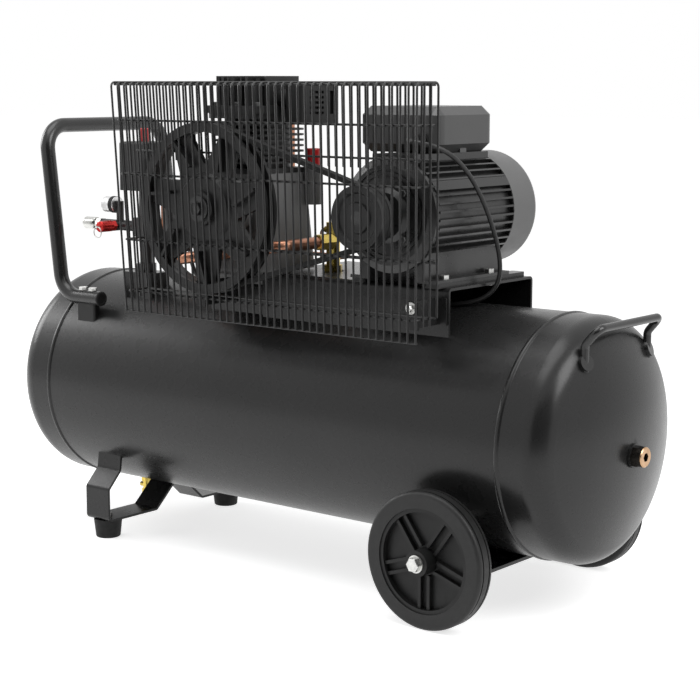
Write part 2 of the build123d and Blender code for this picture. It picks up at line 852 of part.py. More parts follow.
# Pump saddle: a lower channel of the same make
with BuildPart() as pump_saddle:
    with BuildSketch(side_plane(saddle_x0)):
        with BuildLine():
            FilletPolyline(
                (-saddle_half_w, tank_axis_z + tank_r / 2),
                (-saddle_half_w, saddle_top_z),
                (saddle_half_w, saddle_top_z),
                (saddle_half_w, tank_axis_z + tank_r / 2),
                radius=deck_bend_r,
            )
            offset(amount=deck_t, side=Side.RIGHT)
        make_face()
    extrude(amount=saddle_x1 - saddle_x0)
    cut_by_tank()
finish(pump_saddle, "pump_saddle")

# Two flat rails between the deck and the motor's feet
with BuildPart() as motor_rails:
    with BuildSketch(level(deck_top_z, motor_x, (rail_y0 + rail_y1) / 2)):
        with GridLocations(2 * motor_bolt_dx, 0, 2, 1):
            RectangleRounded(rail_w, rail_y1 - rail_y0, rail_w / 6)
    extrude(amount=rail_h)
    with Locations(*motor_bolt_places):
        Cylinder(bolt_r + bolt_hole_fit, 4 * (rail_h + motor_foot_t), mode=Mode.SUBTRACT)
finish(motor_rails, "motor_rails")

# Motor frame: a finned cylinder with a foot along its whole length and a pad for the terminal box
foot_web_h = shaft_z - foot_low_z - math.sqrt(motor_core_r**2 - motor_foot_web_half**2) + motor_fin_t
fin_mid_r = (motor_core_r + motor_r) / 2 - motor_fin_t / 4
fin_len = motor_r - motor_core_r + motor_fin_t / 2
left_fin_deg = 180 - motor_fin_low_deg - motor_fin_span
with BuildPart() as motor_frame:
    with BuildSketch(front_plane(motor_y1, motor_x, shaft_z)):
        Circle(motor_core_r)
        for first_deg in (motor_fin_low_deg, left_fin_deg):
            with PolarLocations(fin_mid_r, motor_fins_side, first_deg, motor_fin_span, endpoint=True):
                Rectangle(fin_len, motor_fin_t)
        for band_deg in (motor_band_deg, 180 - motor_band_deg):
            with PolarLocations(fin_mid_r, 1, band_deg):
                Rectangle(fin_len, motor_band_w)
        with Locations((0, motor_core_r)):
            Rectangle(motor_pad_w, 2 * (motor_r + motor_pad_rise - motor_core_r))
    extrude(amount=motor_y1 - motor_y0)
    with BuildSketch(front_plane(motor_y1, motor_x, foot_low_z)):
        with Locations((0, motor_foot_t / 2)):
            Rectangle(2 * motor_foot_half, motor_foot_t)
        with Locations((0, foot_web_h / 2)):
            Rectangle(2 * motor_foot_web_half, foot_web_h)
        with Locations((0, motor_foot_arch_h / 2)):
            Rectangle(2 * motor_foot_arch_half, motor_foot_arch_h, mode=Mode.SUBTRACT)
    extrude(amount=motor_y1 - motor_y0)
    with Locations(Location((motor_x, motor_mid_y, shaft_z), (90, 0, 0))):
        Cylinder(motor_bore_r, 2 * (motor_y1 - motor_y0), mode=Mode.SUBTRACT)
    with Locations(*motor_bolt_places):
        Cylinder(bolt_r + bolt_hole_fit, 4 * (rail_h + motor_foot_t), mode=Mode.SUBTRACT)
finish(motor_frame, "motor_frame")

# End shields: the same turned dish with a bearing seat at each end of the frame
shield_seat = shield_len - shield_t / 2
shield_profile = [
    (0, shield_r),
    (shield_t, shield_r),
    (shield_t * 2, shield_dish_r),
    (shield_t * 2, shield_boss_r + shield_t),
    (shield_len, shield_boss_r),
    (shield_len, motor_shaft_r + 4 * seat_gap),
    (shield_seat, motor_shaft_r + 4 * seat_gap),
    (shield_seat, motor_bearing_r),
    (0, motor_bearing_r),
]
with BuildPart() as end_shields:
    with BuildSketch(turning_plane(motor_y0, motor_x, shaft_z, True)):
        with BuildLine():
            Polyline(*shield_profile, close=True)
        make_face()
    revolve(axis=shaft_axis(motor_x))
    with BuildSketch(front_plane(motor_y0 - 2 * shield_t, motor_x, shaft_z)):
        for ring_step in (2 * shield_ring_w, 0):
            Circle(shield_ring_r + shield_ring_w / 2 + ring_step)
            Circle(shield_ring_r - shield_ring_w / 2 + ring_step, mode=Mode.SUBTRACT)
    extrude(amount=-shield_ring_deep, mode=Mode.SUBTRACT)
    mirror(about=Plane.XZ.offset(-motor_mid_y))
finish(end_shields, "end_shields")

# Bearings of both shafts
case_bore_y0 = pump_y - crank_room_len / 2
case_bore_y1 = pump_y + crank_room_len / 2
crank_front_y = case_front_y - snout_len
with BuildPart() as shaft_bearings:
    for seat_y in (motor_y0 - shield_seat, motor_y1 + shield_seat - motor_bearing_w):
        with BuildSketch(front_plane(seat_y + motor_bearing_w, motor_x, shaft_z)):
            Circle(motor_bearing_r)
            Circle(motor_shaft_r + run_fit, mode=Mode.SUBTRACT)
        extrude(amount=motor_bearing_w)
    for seat_y in (crank_front_y + snout_len / 2, case_rear_y - crank_bearing_w - snout_len / 2):
        with BuildSketch(front_plane(seat_y + crank_bearing_w, pump_x, shaft_z)):
            Circle(crank_bearing_r)
            Circle(crank_r + run_fit, mode=Mode.SUBTRACT)
        extrude(amount=crank_bearing_w)
finish(shaft_bearings, "shaft_bearings")

# Motor shaft with its rotor
pulley_y0 = belt_y - pulley_w / 2
fan_y0 = motor_y1 + shield_len + fan_disc_t
with BuildPart() as motor_shaft:
    with BuildSketch(front_plane(fan_y0 + fan_len, motor_x, shaft_z)):
        Circle(motor_shaft_r)
    extrude(amount=fan_y0 + fan_len - pulley_y0)
    with BuildSketch(front_plane(rotor_y1, motor_x, shaft_z)):
        Circle(rotor_r)
    extrude(amount=rotor_y1 - rotor_y0)
finish(motor_shaft, "motor_shaft")

# Cooling fan: a backed hub with straight radial blades
with BuildPart() as cooling_fan:
    with BuildSketch(front_plane(fan_y0 + fan_disc_t, motor_x, shaft_z)):
        Circle(fan_r * 0.75)
    extrude(amount=fan_disc_t)
    with BuildSketch(front_plane(fan_y0 + fan_len, motor_x, shaft_z)):
        Circle(fan_hub_r)
        with PolarLocations((fan_hub_r + fan_r) / 2 - fan_blade_t / 2, fan_blades):
            Rectangle(fan_r - fan_hub_r + fan_blade_t, fan_blade_t)
    extrude(amount=fan_len)
    with BuildSketch(front_plane(fan_y0 + fan_len, motor_x, shaft_z)):
        Circle(motor_shaft_r)
    extrude(amount=fan_len + fan_disc_t, mode=Mode.SUBTRACT)
finish(cooling_fan, "cooling_fan")

# Fan cover: a pressed cup over the rear shield, with radial air slots in its end
cover_len = cover_end_y - motor_y1
with BuildPart() as fan_cover:
    with BuildSketch(turning_plane(motor_y1, motor_x, shaft_z, False)):
        with BuildLine():
            FilletPolyline(
                (seat_gap, cover_r),
                (cover_len, cover_r),
                (cover_len, 0),
                radius=cover_round,
            )
            offset(amount=cover_wall, side=Side.RIGHT)
        make_face()
        with Locations((cover_len / 2, -cover_wall)):
            Rectangle(2 * cover_len, 2 * cover_wall, mode=Mode.SUBTRACT)
    revolve(axis=shaft_axis(motor_x))
    with BuildSketch(front_plane(cover_end_y + cover_wall, motor_x, shaft_z)):
        with PolarLocations((cover_slot_r0 + cover_slot_r1) / 2, cover_slots):
            SlotOverall(cover_slot_r1 - cover_slot_r0, cover_slot_w)
    extrude(amount=4 * cover_wall, mode=Mode.SUBTRACT)
finish(fan_cover, "fan_cover")

# V-groove and belt section, shared by the pulley, the flywheel and the belt
groove_half_out = belt_w / 2 + belt_gap
groove_half_in = belt_inner_w / 2 + belt_gap
groove_deep = belt_sink + belt_h + 2 * belt_gap

# Motor pulley
with BuildPart() as motor_pulley:
    with BuildSketch(turning_plane(belt_y, motor_x, shaft_z, True)):
        with BuildLine():
            Polyline(
                (-pulley_w / 2, motor_shaft_r),
                (-pulley_w / 2, pulley_r),
                (-groove_half_out, pulley_r),
                (-groove_half_in, pulley_r - groove_deep),
                (groove_half_in, pulley_r - groove_deep),
                (groove_half_out, pulley_r),
                (pulley_w / 2, pulley_r),
                (pulley_w / 2, pulley_r * 0.8),
                (pulley_w / 2 - belt_h / 2, pulley_r * 0.74),
                (pulley_w / 2 - belt_h / 2, pulley_r * 0.5),
                (pulley_w / 2, pulley_r * 0.46),
                (pulley_w / 2, motor_shaft_r),
                close=True,
            )
        make_face()
    revolve(axis=shaft_axis(motor_x))
finish(motor_pulley, "motor_pulley")

# Flywheel: a grooved rim, a web with teardrop openings, fan blades on the web, and a hub
fly_rim_inner_r = flywheel_r - fly_rim_t
fly_disc_y = fly_web_t / 2 + fly_disc_rise
opening_half = math.radians(fly_opening_deg / 2)
opening_r = fly_rim_inner_r - belt_gap
opening_edge = (opening_r * math.cos(opening_half), opening_r * math.sin(opening_half))
with BuildSketch() as fly_opening:
    with BuildLine():
        Line((fly_opening_tip_r, 0), opening_edge)
        ThreePointArc(opening_edge, (opening_r, 0), (opening_edge[0], -opening_edge[1]))
        Line((opening_edge[0], -opening_edge[1]), (fly_opening_tip_r, 0))
    make_face()
    fillet(fly_opening.vertices(), fly_opening_round)
blade_len = fly_rim_inner_r - fly_opening_tip_r
with BuildPart() as flywheel:
    with BuildSketch(turning_plane(belt_y, pump_x, shaft_z, True)):
        with BuildLine():
            Polyline(
                (-fly_hub_len / 2, fly_nose_r),
                (-fly_hub_len / 2, fly_hub_r),
                (-fly_web_t / 2, fly_hub_r),
                (-fly_web_t / 2, fly_rim_inner_r),
                (-flywheel_w / 2, fly_rim_inner_r),
                (-flywheel_w / 2, flywheel_r),
                (-groove_half_out, flywheel_r),
                (-groove_half_in, flywheel_r - groove_deep),
                (groove_half_in, flywheel_r - groove_deep),
                (groove_half_out, flywheel_r),
                (flywheel_w / 2, flywheel_r),
                (flywheel_w / 2, fly_rim_inner_r),
                (fly_web_t / 2, fly_rim_inner_r),
                (fly_web_t / 2, fly_disc_r + fly_disc_rise),
                (fly_disc_y, fly_disc_r),
                (fly_disc_y, fly_hub_r),
                (fly_hub_len / 2, fly_hub_r),
                (fly_hub_len / 2, fly_nose_r),
                close=True,
            )
        make_face()
    revolve(axis=shaft_axis(pump_x))
    with BuildSketch(front_plane(belt_y + fly_web_t, pump_x, shaft_z)):
        with PolarLocations(0, fly_openings, start_angle=90):
            add(fly_opening.sketch)
    extrude(amount=2 * fly_web_t, mode=Mode.SUBTRACT)
    with BuildSketch(front_plane(belt_y - fly_web_t / 2, pump_x, shaft_z)):
        with PolarLocations(
            fly_opening_tip_r + blade_len / 2, fly_openings, 90 + 180 / fly_openings
        ):
            Rectangle(blade_len, fly_blade_t, rotation=fly_blade_lean)
    extrude(amount=fly_blade_h)
finish(flywheel, "flywheel")

# Bolt and washer that hold the flywheel on the crankshaft
fly_hub_front_y = belt_y - fly_hub_len / 2
with BuildPart() as flywheel_bolt:
    with BuildSketch(front_plane(fly_hub_front_y, pump_x, shaft_z)):
        Circle(fly_washer_r)
    extrude(amount=fly_washer_t)
    with BuildSketch(front_plane(fly_hub_front_y - fly_washer_t, pump_x, shaft_z)):
        RegularPolygon(fly_bolt_af / 2, 6, major_radius=False)
    extrude(amount=fly_bolt_h)
    chamfer(flywheel_bolt.faces().sort_by(Axis.Y)[0].edges(), fly_bolt_h / 8)
finish(flywheel_bolt, "flywheel_bolt")

# Belt: a trapezoid section swept round both wheels on their outer tangents
belt_big_r = flywheel_r - belt_sink
belt_small_r = pulley_r - belt_sink
belt_span = motor_x - pump_x
belt_lean = math.asin((belt_big_r - belt_small_r) / belt_span)
tangent = (math.sin(belt_lean), math.cos(belt_lean))
big_top = (belt_big_r * tangent[0], belt_big_r * tangent[1])
small_top = (belt_span + belt_small_r * tangent[0], belt_small_r * tangent[1])
with BuildPart() as drive_belt:
    with BuildLine(front_plane(belt_y, pump_x, shaft_z)) as belt_line:
        Line(big_top, small_top)
        ThreePointArc(small_top, (belt_span + belt_small_r, 0), (small_top[0], -small_top[1]))
        Line((small_top[0], -small_top[1]), (big_top[0], -big_top[1]))
        ThreePointArc((big_top[0], -big_top[1]), (-belt_big_r, 0), big_top)
    belt_start = Plane(origin=belt_line.line @ 0, x_dir=(0, -1, 0), z_dir=belt_line.line % 0)
    with BuildSketch(belt_start):
        with BuildLine():
            Polyline(
                (-belt_w / 2, 0),
                (belt_w / 2, 0),
                (belt_inner_w / 2, belt_h),
                (-belt_inner_w / 2, belt_h),
                close=True,
            )
        make_face()
    sweep(path=belt_line.line)
finish(drive_belt, "drive_belt")

# Terminal box: a base on the motor's pad and a lid, both shells with sloping outer edges
box_mid_z = motor_top_z + box_base_h
box_top_z = box_mid_z + box_lid_h
box_face_x = box_len_x - 2 * box_chamfer
box_face_y = box_len_y - 2 * box_chamfer
with BuildPart() as terminal_base:
    with BuildSketch(level(motor_top_z, box_x, box_y)):
        RectangleRounded(box_face_x, box_face_y, box_round - box_chamfer)
    with BuildSketch(level(motor_top_z + box_chamfer, box_x, box_y)):
        RectangleRounded(box_len_x, box_len_y, box_round)
    loft()
    with BuildSketch(level(box_mid_z, box_x, box_y)):
        RectangleRounded(box_len_x, box_len_y, box_round)
    extrude(amount=box_chamfer - box_base_h)
    with BuildSketch(level(box_mid_z, box_x, box_y)):
        RectangleRounded(box_len_x - 2 * box_wall, box_len_y - 2 * box_wall, box_round - box_wall)
    extrude(amount=box_chamfer - box_base_h, mode=Mode.SUBTRACT)
    with BuildSketch(level(motor_top_z, box_x + box_len_x / 2 - box_chamfer, box_y)):
        Rectangle(box_chamfer, box_lug_w)
    extrude(amount=box_chamfer)
finish(terminal_base, "terminal_base")

with BuildPart() as terminal_lid:
    with BuildSketch(level(box_top_z, box_x, box_y)):
        RectangleRounded(box_face_x, box_face_y, box_round - box_chamfer)
    with BuildSketch(level(box_top_z - box_chamfer, box_x, box_y)):
        RectangleRounded(box_len_x, box_len_y, box_round)
    loft()
    with BuildSketch(level(box_mid_z, box_x, box_y)):
        RectangleRounded(box_len_x, box_len_y, box_round)
    extrude(amount=box_lid_h - box_chamfer)
    with BuildSketch(level(box_mid_z, box_x, box_y)):
        RectangleRounded(box_len_x - 2 * box_wall, box_len_y - 2 * box_wall, box_round - box_wall)
    extrude(amount=box_lid_h - box_chamfer, mode=Mode.SUBTRACT)
finish(terminal_lid, "terminal_lid")

# Cable glands: a hex foot and a round nut, on the terminal box and on the pressure switch
box_front_y = box_y - box_len_y / 2
switch_face_x = control_x + switch_w / 2
with BuildPart() as cable_glands:
    with BuildSketch(front_plane(box_front_y, box_gland_x, box_gland_z)):
        RegularPolygon(gland_hex_af / 2, 6, major_radius=False)
    extrude(amount=gland_hex_len)
    with BuildSketch(front_plane(box_front_y - gland_hex_len, box_gland_x, box_gland_z)):
        Circle(gland_r)
    extrude(amount=gland_len - gland_hex_len)
    with BuildSketch(side_plane(switch_face_x, control_y, switch_gland_z)):
        RegularPolygon(gland_hex_af / 2, 6, major_radius=False)
    extrude(amount=gland_hex_len)
    with BuildSketch(side_plane(switch_face_x + gland_hex_len, control_y, switch_gland_z)):
        Circle(gland_r)
    extrude(amount=gland_len - gland_hex_len)
finish(cable_glands, "cable_glands")

# Motor cable: from the terminal box, round the motor into the open end of the deck, along the
# tank under the deck and the saddle, and up to the pressure switch
cable_start_y = box_front_y - gland_len
cable_end_x = switch_face_x + gland_len
cable_route = [
    (box_gland_x, cable_start_y, box_gland_z),
    (box_gland_x, -114, box_gland_z),
    (270, -134, 694),
    (287, -147.5, 693.5),
    (308.5, -149.5, 692),
    (327, -139.5, 687.5),
    (339, -120, 677),
    (345, -96, 659),
    (348, -69, 632),
    (350.5, -43, 595),
    (351.5, -20, 553),
    (351.5, -6, 515),
    (348.5, -3, 485),
    (338, -9, 464),
    (317, -20, 451),
    (288, -33, 446),
    (244, -46, 443.2),
    (188, -55, 440.6),
    (120, -60, 438.9),
    (48, -62, 438.2),
    (-24, -59, 439.3),
    (-90, -58, 439.6),
    (-142, -61, 438.6),
    (-180, -65, 439.5),
    (-204, -69, 446),
    (-219, -73, 461),
    (-226, -76, 483),
    (-228, -78.5, 514),
    (-227.5, -80, 548),
    (-227.5, -80, 584.5),
    (-238, -80, 603),
    (-257, control_y, switch_gland_z),
    (cable_end_x, control_y, switch_gland_z),
]
cable_bends = cord_radii(cable_route)
print("cable bend radii", [round(radius) for radius in cable_bends])
with BuildPart() as motor_cable:
    with BuildLine() as cable_line:
        FilletPolyline(*cable_route, radius=cable_bends)
    with BuildSketch(Plane(origin=cable_line.line @ 0, z_dir=cable_line.line % 0)):
        Circle(cable_d / 2)
    sweep(path=cable_line.line)
cable_length = sum(edge.length for edge in cable_line.edges())
print("cable length", round(cable_length, 1))
print("cable volume share", motor_cable.part.volume / (math.pi * cable_d**2 / 4 * cable_length))
finish(motor_cable, "motor_cable")

# Crankcase: a cast box that widens downwards, on a narrower sump and foot
case_low_z = deck_top_z + case_deck_gap
with BuildPart() as crankcase:
    with BuildSketch(level(saddle_top_z)):
        with Locations(((case_foot_x0 + case_foot_x1) / 2, (case_foot_y0 + case_foot_y1) / 2)):
            RectangleRounded(case_foot_x1 - case_foot_x0, case_foot_y1 - case_foot_y0, strap_bend_r)
    extrude(amount=case_foot_t)
    with BuildSketch(level(saddle_top_z)):
        with Locations(((case_foot_x0 + case_foot_x1) / 2, (case_foot_y0 + case_foot_y1) / 2)):
            Rectangle(
                case_foot_x1 - case_foot_x0 - case_foot_t,
                case_foot_y1 - case_foot_y0 - case_foot_t,
            )
    extrude(amount=case_low_z - saddle_top_z + case_foot_t)
    with BuildSketch(level(case_low_z, pump_x, pump_y)):
        RectangleRounded(case_low_w, case_low_len, case_round)
    with BuildSketch(level(case_top_z, pump_x, pump_y)):
        RectangleRounded(case_top_w, case_low_len, case_round)
    loft()
    with BuildSketch(front_plane(pump_y, pump_x, shaft_z)):
        Circle(snout_r)
    extrude(amount=pump_y - crank_front_y)
    with BuildSketch(level(shaft_z, oil_x, oil_y)):
        Circle(oil_boss_r)
    extrude(amount=oil_boss_z - shaft_z)
    with BuildSketch(level(oil_boss_z, oil_x, oil_y)):
        Circle(oil_stem_r + run_fit)
    extrude(amount=-oil_stem_len - seat_gap, mode=Mode.SUBTRACT)
    with Locations(Location((pump_x, pump_y, shaft_z), (90, 0, 0))):
        Cylinder(crank_room_r, crank_room_len, mode=Mode.SUBTRACT)
    for seat_y in (crank_front_y + snout_len / 2, case_rear_y - crank_bearing_w - snout_len / 2):
        with BuildSketch(front_plane(seat_y + crank_bearing_w, pump_x, shaft_z)):
            Circle(crank_bearing_r)
        extrude(amount=crank_bearing_w, mode=Mode.SUBTRACT)
    with BuildSketch(front_plane(case_rear_y - snout_len / 2, pump_x, shaft_z)):
        Circle(crank_r + seat_gap)
    extrude(amount=2 * case_low_len, mode=Mode.SUBTRACT)
    with BuildSketch(level(case_top_z, pump_x, pump_y)):
        with GridLocations(0, bore_pitch, 1, 2):
            Circle(bore_r)
    extrude(amount=shaft_z - case_top_z, mode=Mode.SUBTRACT)
finish(crankcase, "crankcase")

# Crankshaft: main journals, webs and two throws in line, with a nose for the flywheel
with BuildPart() as crankshaft:
    with BuildSketch(front_plane(case_bore_y0 + crank_web_t, pump_x, shaft_z)):
        Circle(crank_r)
    extrude(amount=case_bore_y0 + crank_web_t - (belt_y + fly_hub_len / 2))
    with BuildSketch(front_plane(belt_y + fly_hub_len / 2, pump_x, shaft_z)):
        Circle(fly_nose_r)
    extrude(amount=fly_hub_len)
    with BuildSketch(front_plane(case_rear_y - snout_len / 2 - seat_gap, pump_x, shaft_z)):
        Circle(crank_r)
    extrude(amount=case_rear_y - snout_len / 2 - seat_gap - case_bore_y1 + crank_web_t)
    web_ys = [
        case_bore_y1 - crank_web_t / 2,
        pump_y + crank_web_t,
        case_bore_y0 + crank_web_t * 1.5,
    ]
    for web_y in web_ys:
        with BuildSketch(front_plane(web_y, pump_x, shaft_z)):
            Circle(crank_web_r)
        extrude(amount=crank_web_t)
    with BuildSketch(front_plane(case_bore_y1 - crank_web_t, pump_x, shaft_z - crank_throw)):
        Circle(crank_pin_r)
    extrude(amount=crank_room_len - 2 * crank_web_t)
finish(crankshaft, "crankshaft")

# Finned cylinder block with two bores
fin_zone = block_top_z - block_bottom_z - 2 * block_flange_t
fin_pitch = fin_zone / (block_fins + 1)
fin_levels = [
    block_bottom_z + block_flange_t + fin_pitch * (number + 1) - block_fin_t / 2
    for number in range(block_fins)
]
with BuildPart() as cylinder_block:
    with BuildSketch(level(block_bottom_z, pump_x, pump_y)):
        RectangleRounded(block_core_w, block_core_len, block_core_w / 2 - block_flange_t)
    extrude(amount=block_top_z - block_bottom_z)
    with BuildSketch(*[level(z, pump_x, pump_y) for z in fin_levels]):
        RectangleRounded(block_w, block_len, block_round)
    extrude(amount=block_fin_t)
    flange_levels = [block_bottom_z, block_top_z - block_flange_t]
    with BuildSketch(*[level(z, pump_x, pump_y) for z in flange_levels]):
        RectangleRounded(block_w, block_len, block_round / 2)
    extrude(amount=block_flange_t)
    with BuildSketch(level(block_bottom_z, pump_x, pump_y)):
        with GridLocations(0, bore_pitch, 1, 2):
            Circle(bore_r)
    extrude(amount=block_top_z - block_bottom_z, mode=Mode.SUBTRACT)
finish(cylinder_block, "cylinder_block")

# Cylinder head: a plate with upright fins, a discharge port at the rear and an intake neck at +X
head_bolt_places = [
    (pump_x + dx, pump_y + dy, block_top_z + head_base_t)
    for dx in (-head_bolt_dx, 0, head_bolt_dx)
    for dy in (-head_bolt_dy, head_bolt_dy)
]
head_port_x = pump_x + head_port_shift
head_port_y = pump_y + head_len / 2 + head_port_len
head_fin_pitch = (head_w - head_fin_t - 2 * block_flange_t) / (head_fins - 1)
with BuildPart() as cylinder_head:
    with BuildSketch(level(block_top_z, pump_x, pump_y)):
        RectangleRounded(head_w, head_len, block_round / 2)
    extrude(amount=head_base_t)
    with BuildSketch(level(block_top_z, pump_x, pump_y)):
        RectangleRounded(head_w - 4 * block_flange_t, head_len - 4 * block_flange_t, block_round)
    extrude(amount=head_top_z - block_top_z - block_flange_t)
    with BuildSketch(level(block_top_z, pump_x, pump_y)):
        with GridLocations(head_fin_pitch, 0, head_fins, 1):
            Rectangle(head_fin_t, head_len - 2 * block_flange_t)
    extrude(amount=head_top_z - block_top_z)
    with BuildSketch(front_plane(head_port_y, head_port_x, head_port_z)):
        Circle(head_port_r)
    extrude(amount=head_port_len + head_len / 4)
    with BuildSketch(side_plane(pump_x + head_w / 4, pump_y, (filter_z0 + filter_z1) / 2 + head_base_t / 2)):
        Circle(head_port_r)
    extrude(amount=head_w / 4 + filter_neck_len)
    with Locations(*head_bolt_places):
        Cylinder(
            bolt_head_af,
            head_top_z - block_top_z,
            align=(Align.CENTER, Align.CENTER, Align.MIN),
            mode=Mode.SUBTRACT,
        )
        Cylinder(bolt_r + bolt_hole_fit, 2 * head_base_t, mode=Mode.SUBTRACT)
finish(cylinder_head, "cylinder_head")

# Six head bolts, seated on the plate between the fins
with BuildPart() as head_bolts:
    head_bolt = hex_bolt(bolt_head_af, bolt_head_h, bolt_r, head_base_t)
    with Locations(*head_bolt_places):
        add(head_bolt)
finish(head_bolts, "head_bolts")

# Air filter: a rounded box on the intake neck, with louvres in its outer face
filter_x0 = pump_x + head_w / 2 + filter_neck_len
filter_mid_z = (filter_z0 + filter_z1) / 2
with BuildPart() as air_filter:
    with BuildSketch(level(filter_z0, filter_x0 + filter_w / 2, pump_y + filter_offset_y)):
        RectangleRounded(filter_w, filter_len, filter_round)
    extrude(amount=filter_z1 - filter_z0)
    fillet(air_filter.faces().sort_by(Axis.Z)[-1].edges(), filter_round / 2)
    with BuildSketch(side_plane(filter_x0 + filter_w, pump_y + filter_offset_y, filter_mid_z)):
        with Locations((-filter_len / 8, 0)):
            with GridLocations(filter_slot_w * 1.4, filter_slot_h * 2, 3, 5):
                Rectangle(filter_slot_w, filter_slot_h)
        with Locations((filter_len / 4, 0)):
            Rectangle(filter_slot_w, filter_slot_h * 9)
    extrude(amount=-filter_slot_deep, mode=Mode.SUBTRACT)
finish(air_filter, "air_filter")

# Oil filler cap, a push-in breather
with BuildPart() as oil_cap:
    with BuildSketch(level(oil_boss_z + seat_gap, oil_x, oil_y)):
        Circle(oil_cap_r)
    extrude(amount=oil_cap_h)
    fillet(oil_cap.faces().sort_by(Axis.Z)[-1].edges(), oil_cap_r / 4)
    with BuildSketch(level(oil_boss_z + seat_gap, oil_x, oil_y)):
        Circle(oil_stem_r)
    extrude(amount=-oil_stem_len)
finish(oil_cap, "oil_cap")

# Guard panels: each is one flat grid of welded wires
guard_w = guard_x1 - guard_x0
guard_mid_x = (guard_x0 + guard_x1) / 2
guard_rows = [guard_bottom_z, guard_rail_z, guard_low_z, guard_high_z, guard_upper_z, guard_top_z]
gap_pitch = (guard_w - guard_wire) / guard_gaps
with BuildPart() as guard_front:
    with BuildSketch(front_plane(guard_front_y + guard_wire)):
        with Locations((guard_mid_x, (guard_bottom_z + guard_top_z) / 2)):
            Rectangle(guard_w, guard_top_z - guard_bottom_z)
        for low_z, high_z in zip(guard_rows, guard_rows[1:]):
            gap_low = low_z + guard_wire
            gap_high = high_z if high_z < guard_top_z else high_z - guard_wire
            with Locations((guard_mid_x, (gap_low + gap_high) / 2)):
                with GridLocations(gap_pitch, 0, guard_gaps, 1):
                    Rectangle(gap_pitch - guard_wire, gap_high - gap_low, mode=Mode.SUBTRACT)
    extrude(amount=guard_wire)
finish(guard_front, "guard_front")

guard_inner_y = guard_front_y + guard_wire
guard_depth = guard_rear_y - guard_inner_y
with BuildPart() as guard_top:
    with BuildSketch(level(guard_top_z - guard_wire)):
        with Locations((guard_mid_x, (guard_inner_y + guard_rear_y) / 2)):
            Rectangle(guard_w, guard_depth)
        with Locations((guard_mid_x, guard_inner_y + (guard_depth - guard_wire) / 2)):
            with GridLocations(gap_pitch, 0, guard_gaps, 1):
                Rectangle(gap_pitch - guard_wire, guard_depth - guard_wire, mode=Mode.SUBTRACT)
    extrude(amount=guard_wire)
finish(guard_top, "guard_top")

guard_band_y = guard_rear_y - guard_wire
guard_band = guard_band_y - guard_inner_y
end_rows = [guard_rail_z, guard_low_z, guard_high_z, guard_upper_z, guard_top_z - guard_wire]
end_pitch = (guard_band + guard_wire) / guard_end_gaps
with BuildPart() as guard_ends:
    for end_x in (guard_x0, guard_x1 - guard_wire):
        with BuildSketch(side_plane(end_x, (guard_inner_y + guard_band_y) / 2)):
            with Locations((0, (end_rows[0] + end_rows[-1]) / 2)):
                Rectangle(guard_band, end_rows[-1] - end_rows[0])
            for low_z, high_z in zip(end_rows, end_rows[1:]):
                with Locations((0, (low_z + guard_wire + high_z) / 2)):
                    with GridLocations(end_pitch, 0, guard_end_gaps, 1):
                        Rectangle(end_pitch - guard_wire, high_z - low_z - guard_wire, mode=Mode.SUBTRACT)
        extrude(amount=guard_wire)
finish(guard_ends, "guard_ends")

# Rear panel: an open frame behind the wheels, with a row of wires along its top
rear_top_z = guard_top_z - guard_wire
rear_rows = [guard_rail_z, guard_rear_low_z, guard_rear_rail_z]
with BuildPart() as guard_rear:
    with BuildSketch(front_plane(guard_rear_y)):
        with Locations((guard_mid_x, (guard_rail_z + rear_top_z) / 2)):
            Rectangle(guard_w, rear_top_z - guard_rail_z)
        for low_z, high_z in zip(rear_rows, rear_rows[1:]):
            with Locations((guard_mid_x, (low_z + guard_wire + high_z) / 2)):
                Rectangle(guard_w - 2 * guard_wire, high_z - low_z - guard_wire, mode=Mode.SUBTRACT)
        with Locations((guard_mid_x, (guard_rear_rail_z + guard_wire + rear_top_z) / 2)):
            with GridLocations(gap_pitch, 0, guard_gaps, 1):
                Rectangle(
                    gap_pitch - guard_wire,
                    rear_top_z - guard_rear_rail_z - guard_wire,
                    mode=Mode.SUBTRACT,
                )
    extrude(amount=guard_wire)
finish(guard_rear, "guard_rear")

# Brackets that carry the guard's rear frame on the deck and on the saddle
bracket_places = [(guard_bracket_right_x, deck_half_w), (guard_bracket_left_x, saddle_half_w)]
with BuildPart() as guard_brackets:
    for place_x, flange_y in bracket_places:
        with BuildSketch(level(guard_bracket_z, place_x)):
            with BuildLine():
                Polyline(
                    (guard_bracket_h / 2, -flange_y),
                    (0, -flange_y),
                    (0, guard_rear_y),
                    (guard_bracket_h / 2, guard_rear_y),
                )
                offset(amount=guard_bracket_t, side=Side.LEFT)
            make_face()
        extrude(amount=guard_bracket_h)
finish(guard_brackets, "guard_brackets")

# Frame bolts: the same head on the bolts of the feet, the motor and the handle
foot_bolt = hex_bolt(bolt_head_af, bolt_head_h, bolt_r, foot_h * 0.7)
motor_bolt = hex_bolt(bolt_head_af, bolt_head_h, bolt_r, motor_foot_t + rail_h + 2 * deck_t)
handle_bolt = hex_bolt(bolt_head_af, bolt_head_h, bolt_r, handle_od + clamp_cradle)
handle_top = handle_low_z + handle_od / 2
with BuildPart() as frame_bolts:
    with Locations(*foot_bolt_places):
        add(foot_bolt)
    with Locations(*motor_bolt_places):
        add(motor_bolt)
    with Locations(*[(x, y, handle_top) for x, y, z in handle_bolt_places]):
        add(handle_bolt)
finish(frame_bolts, "frame_bolts")

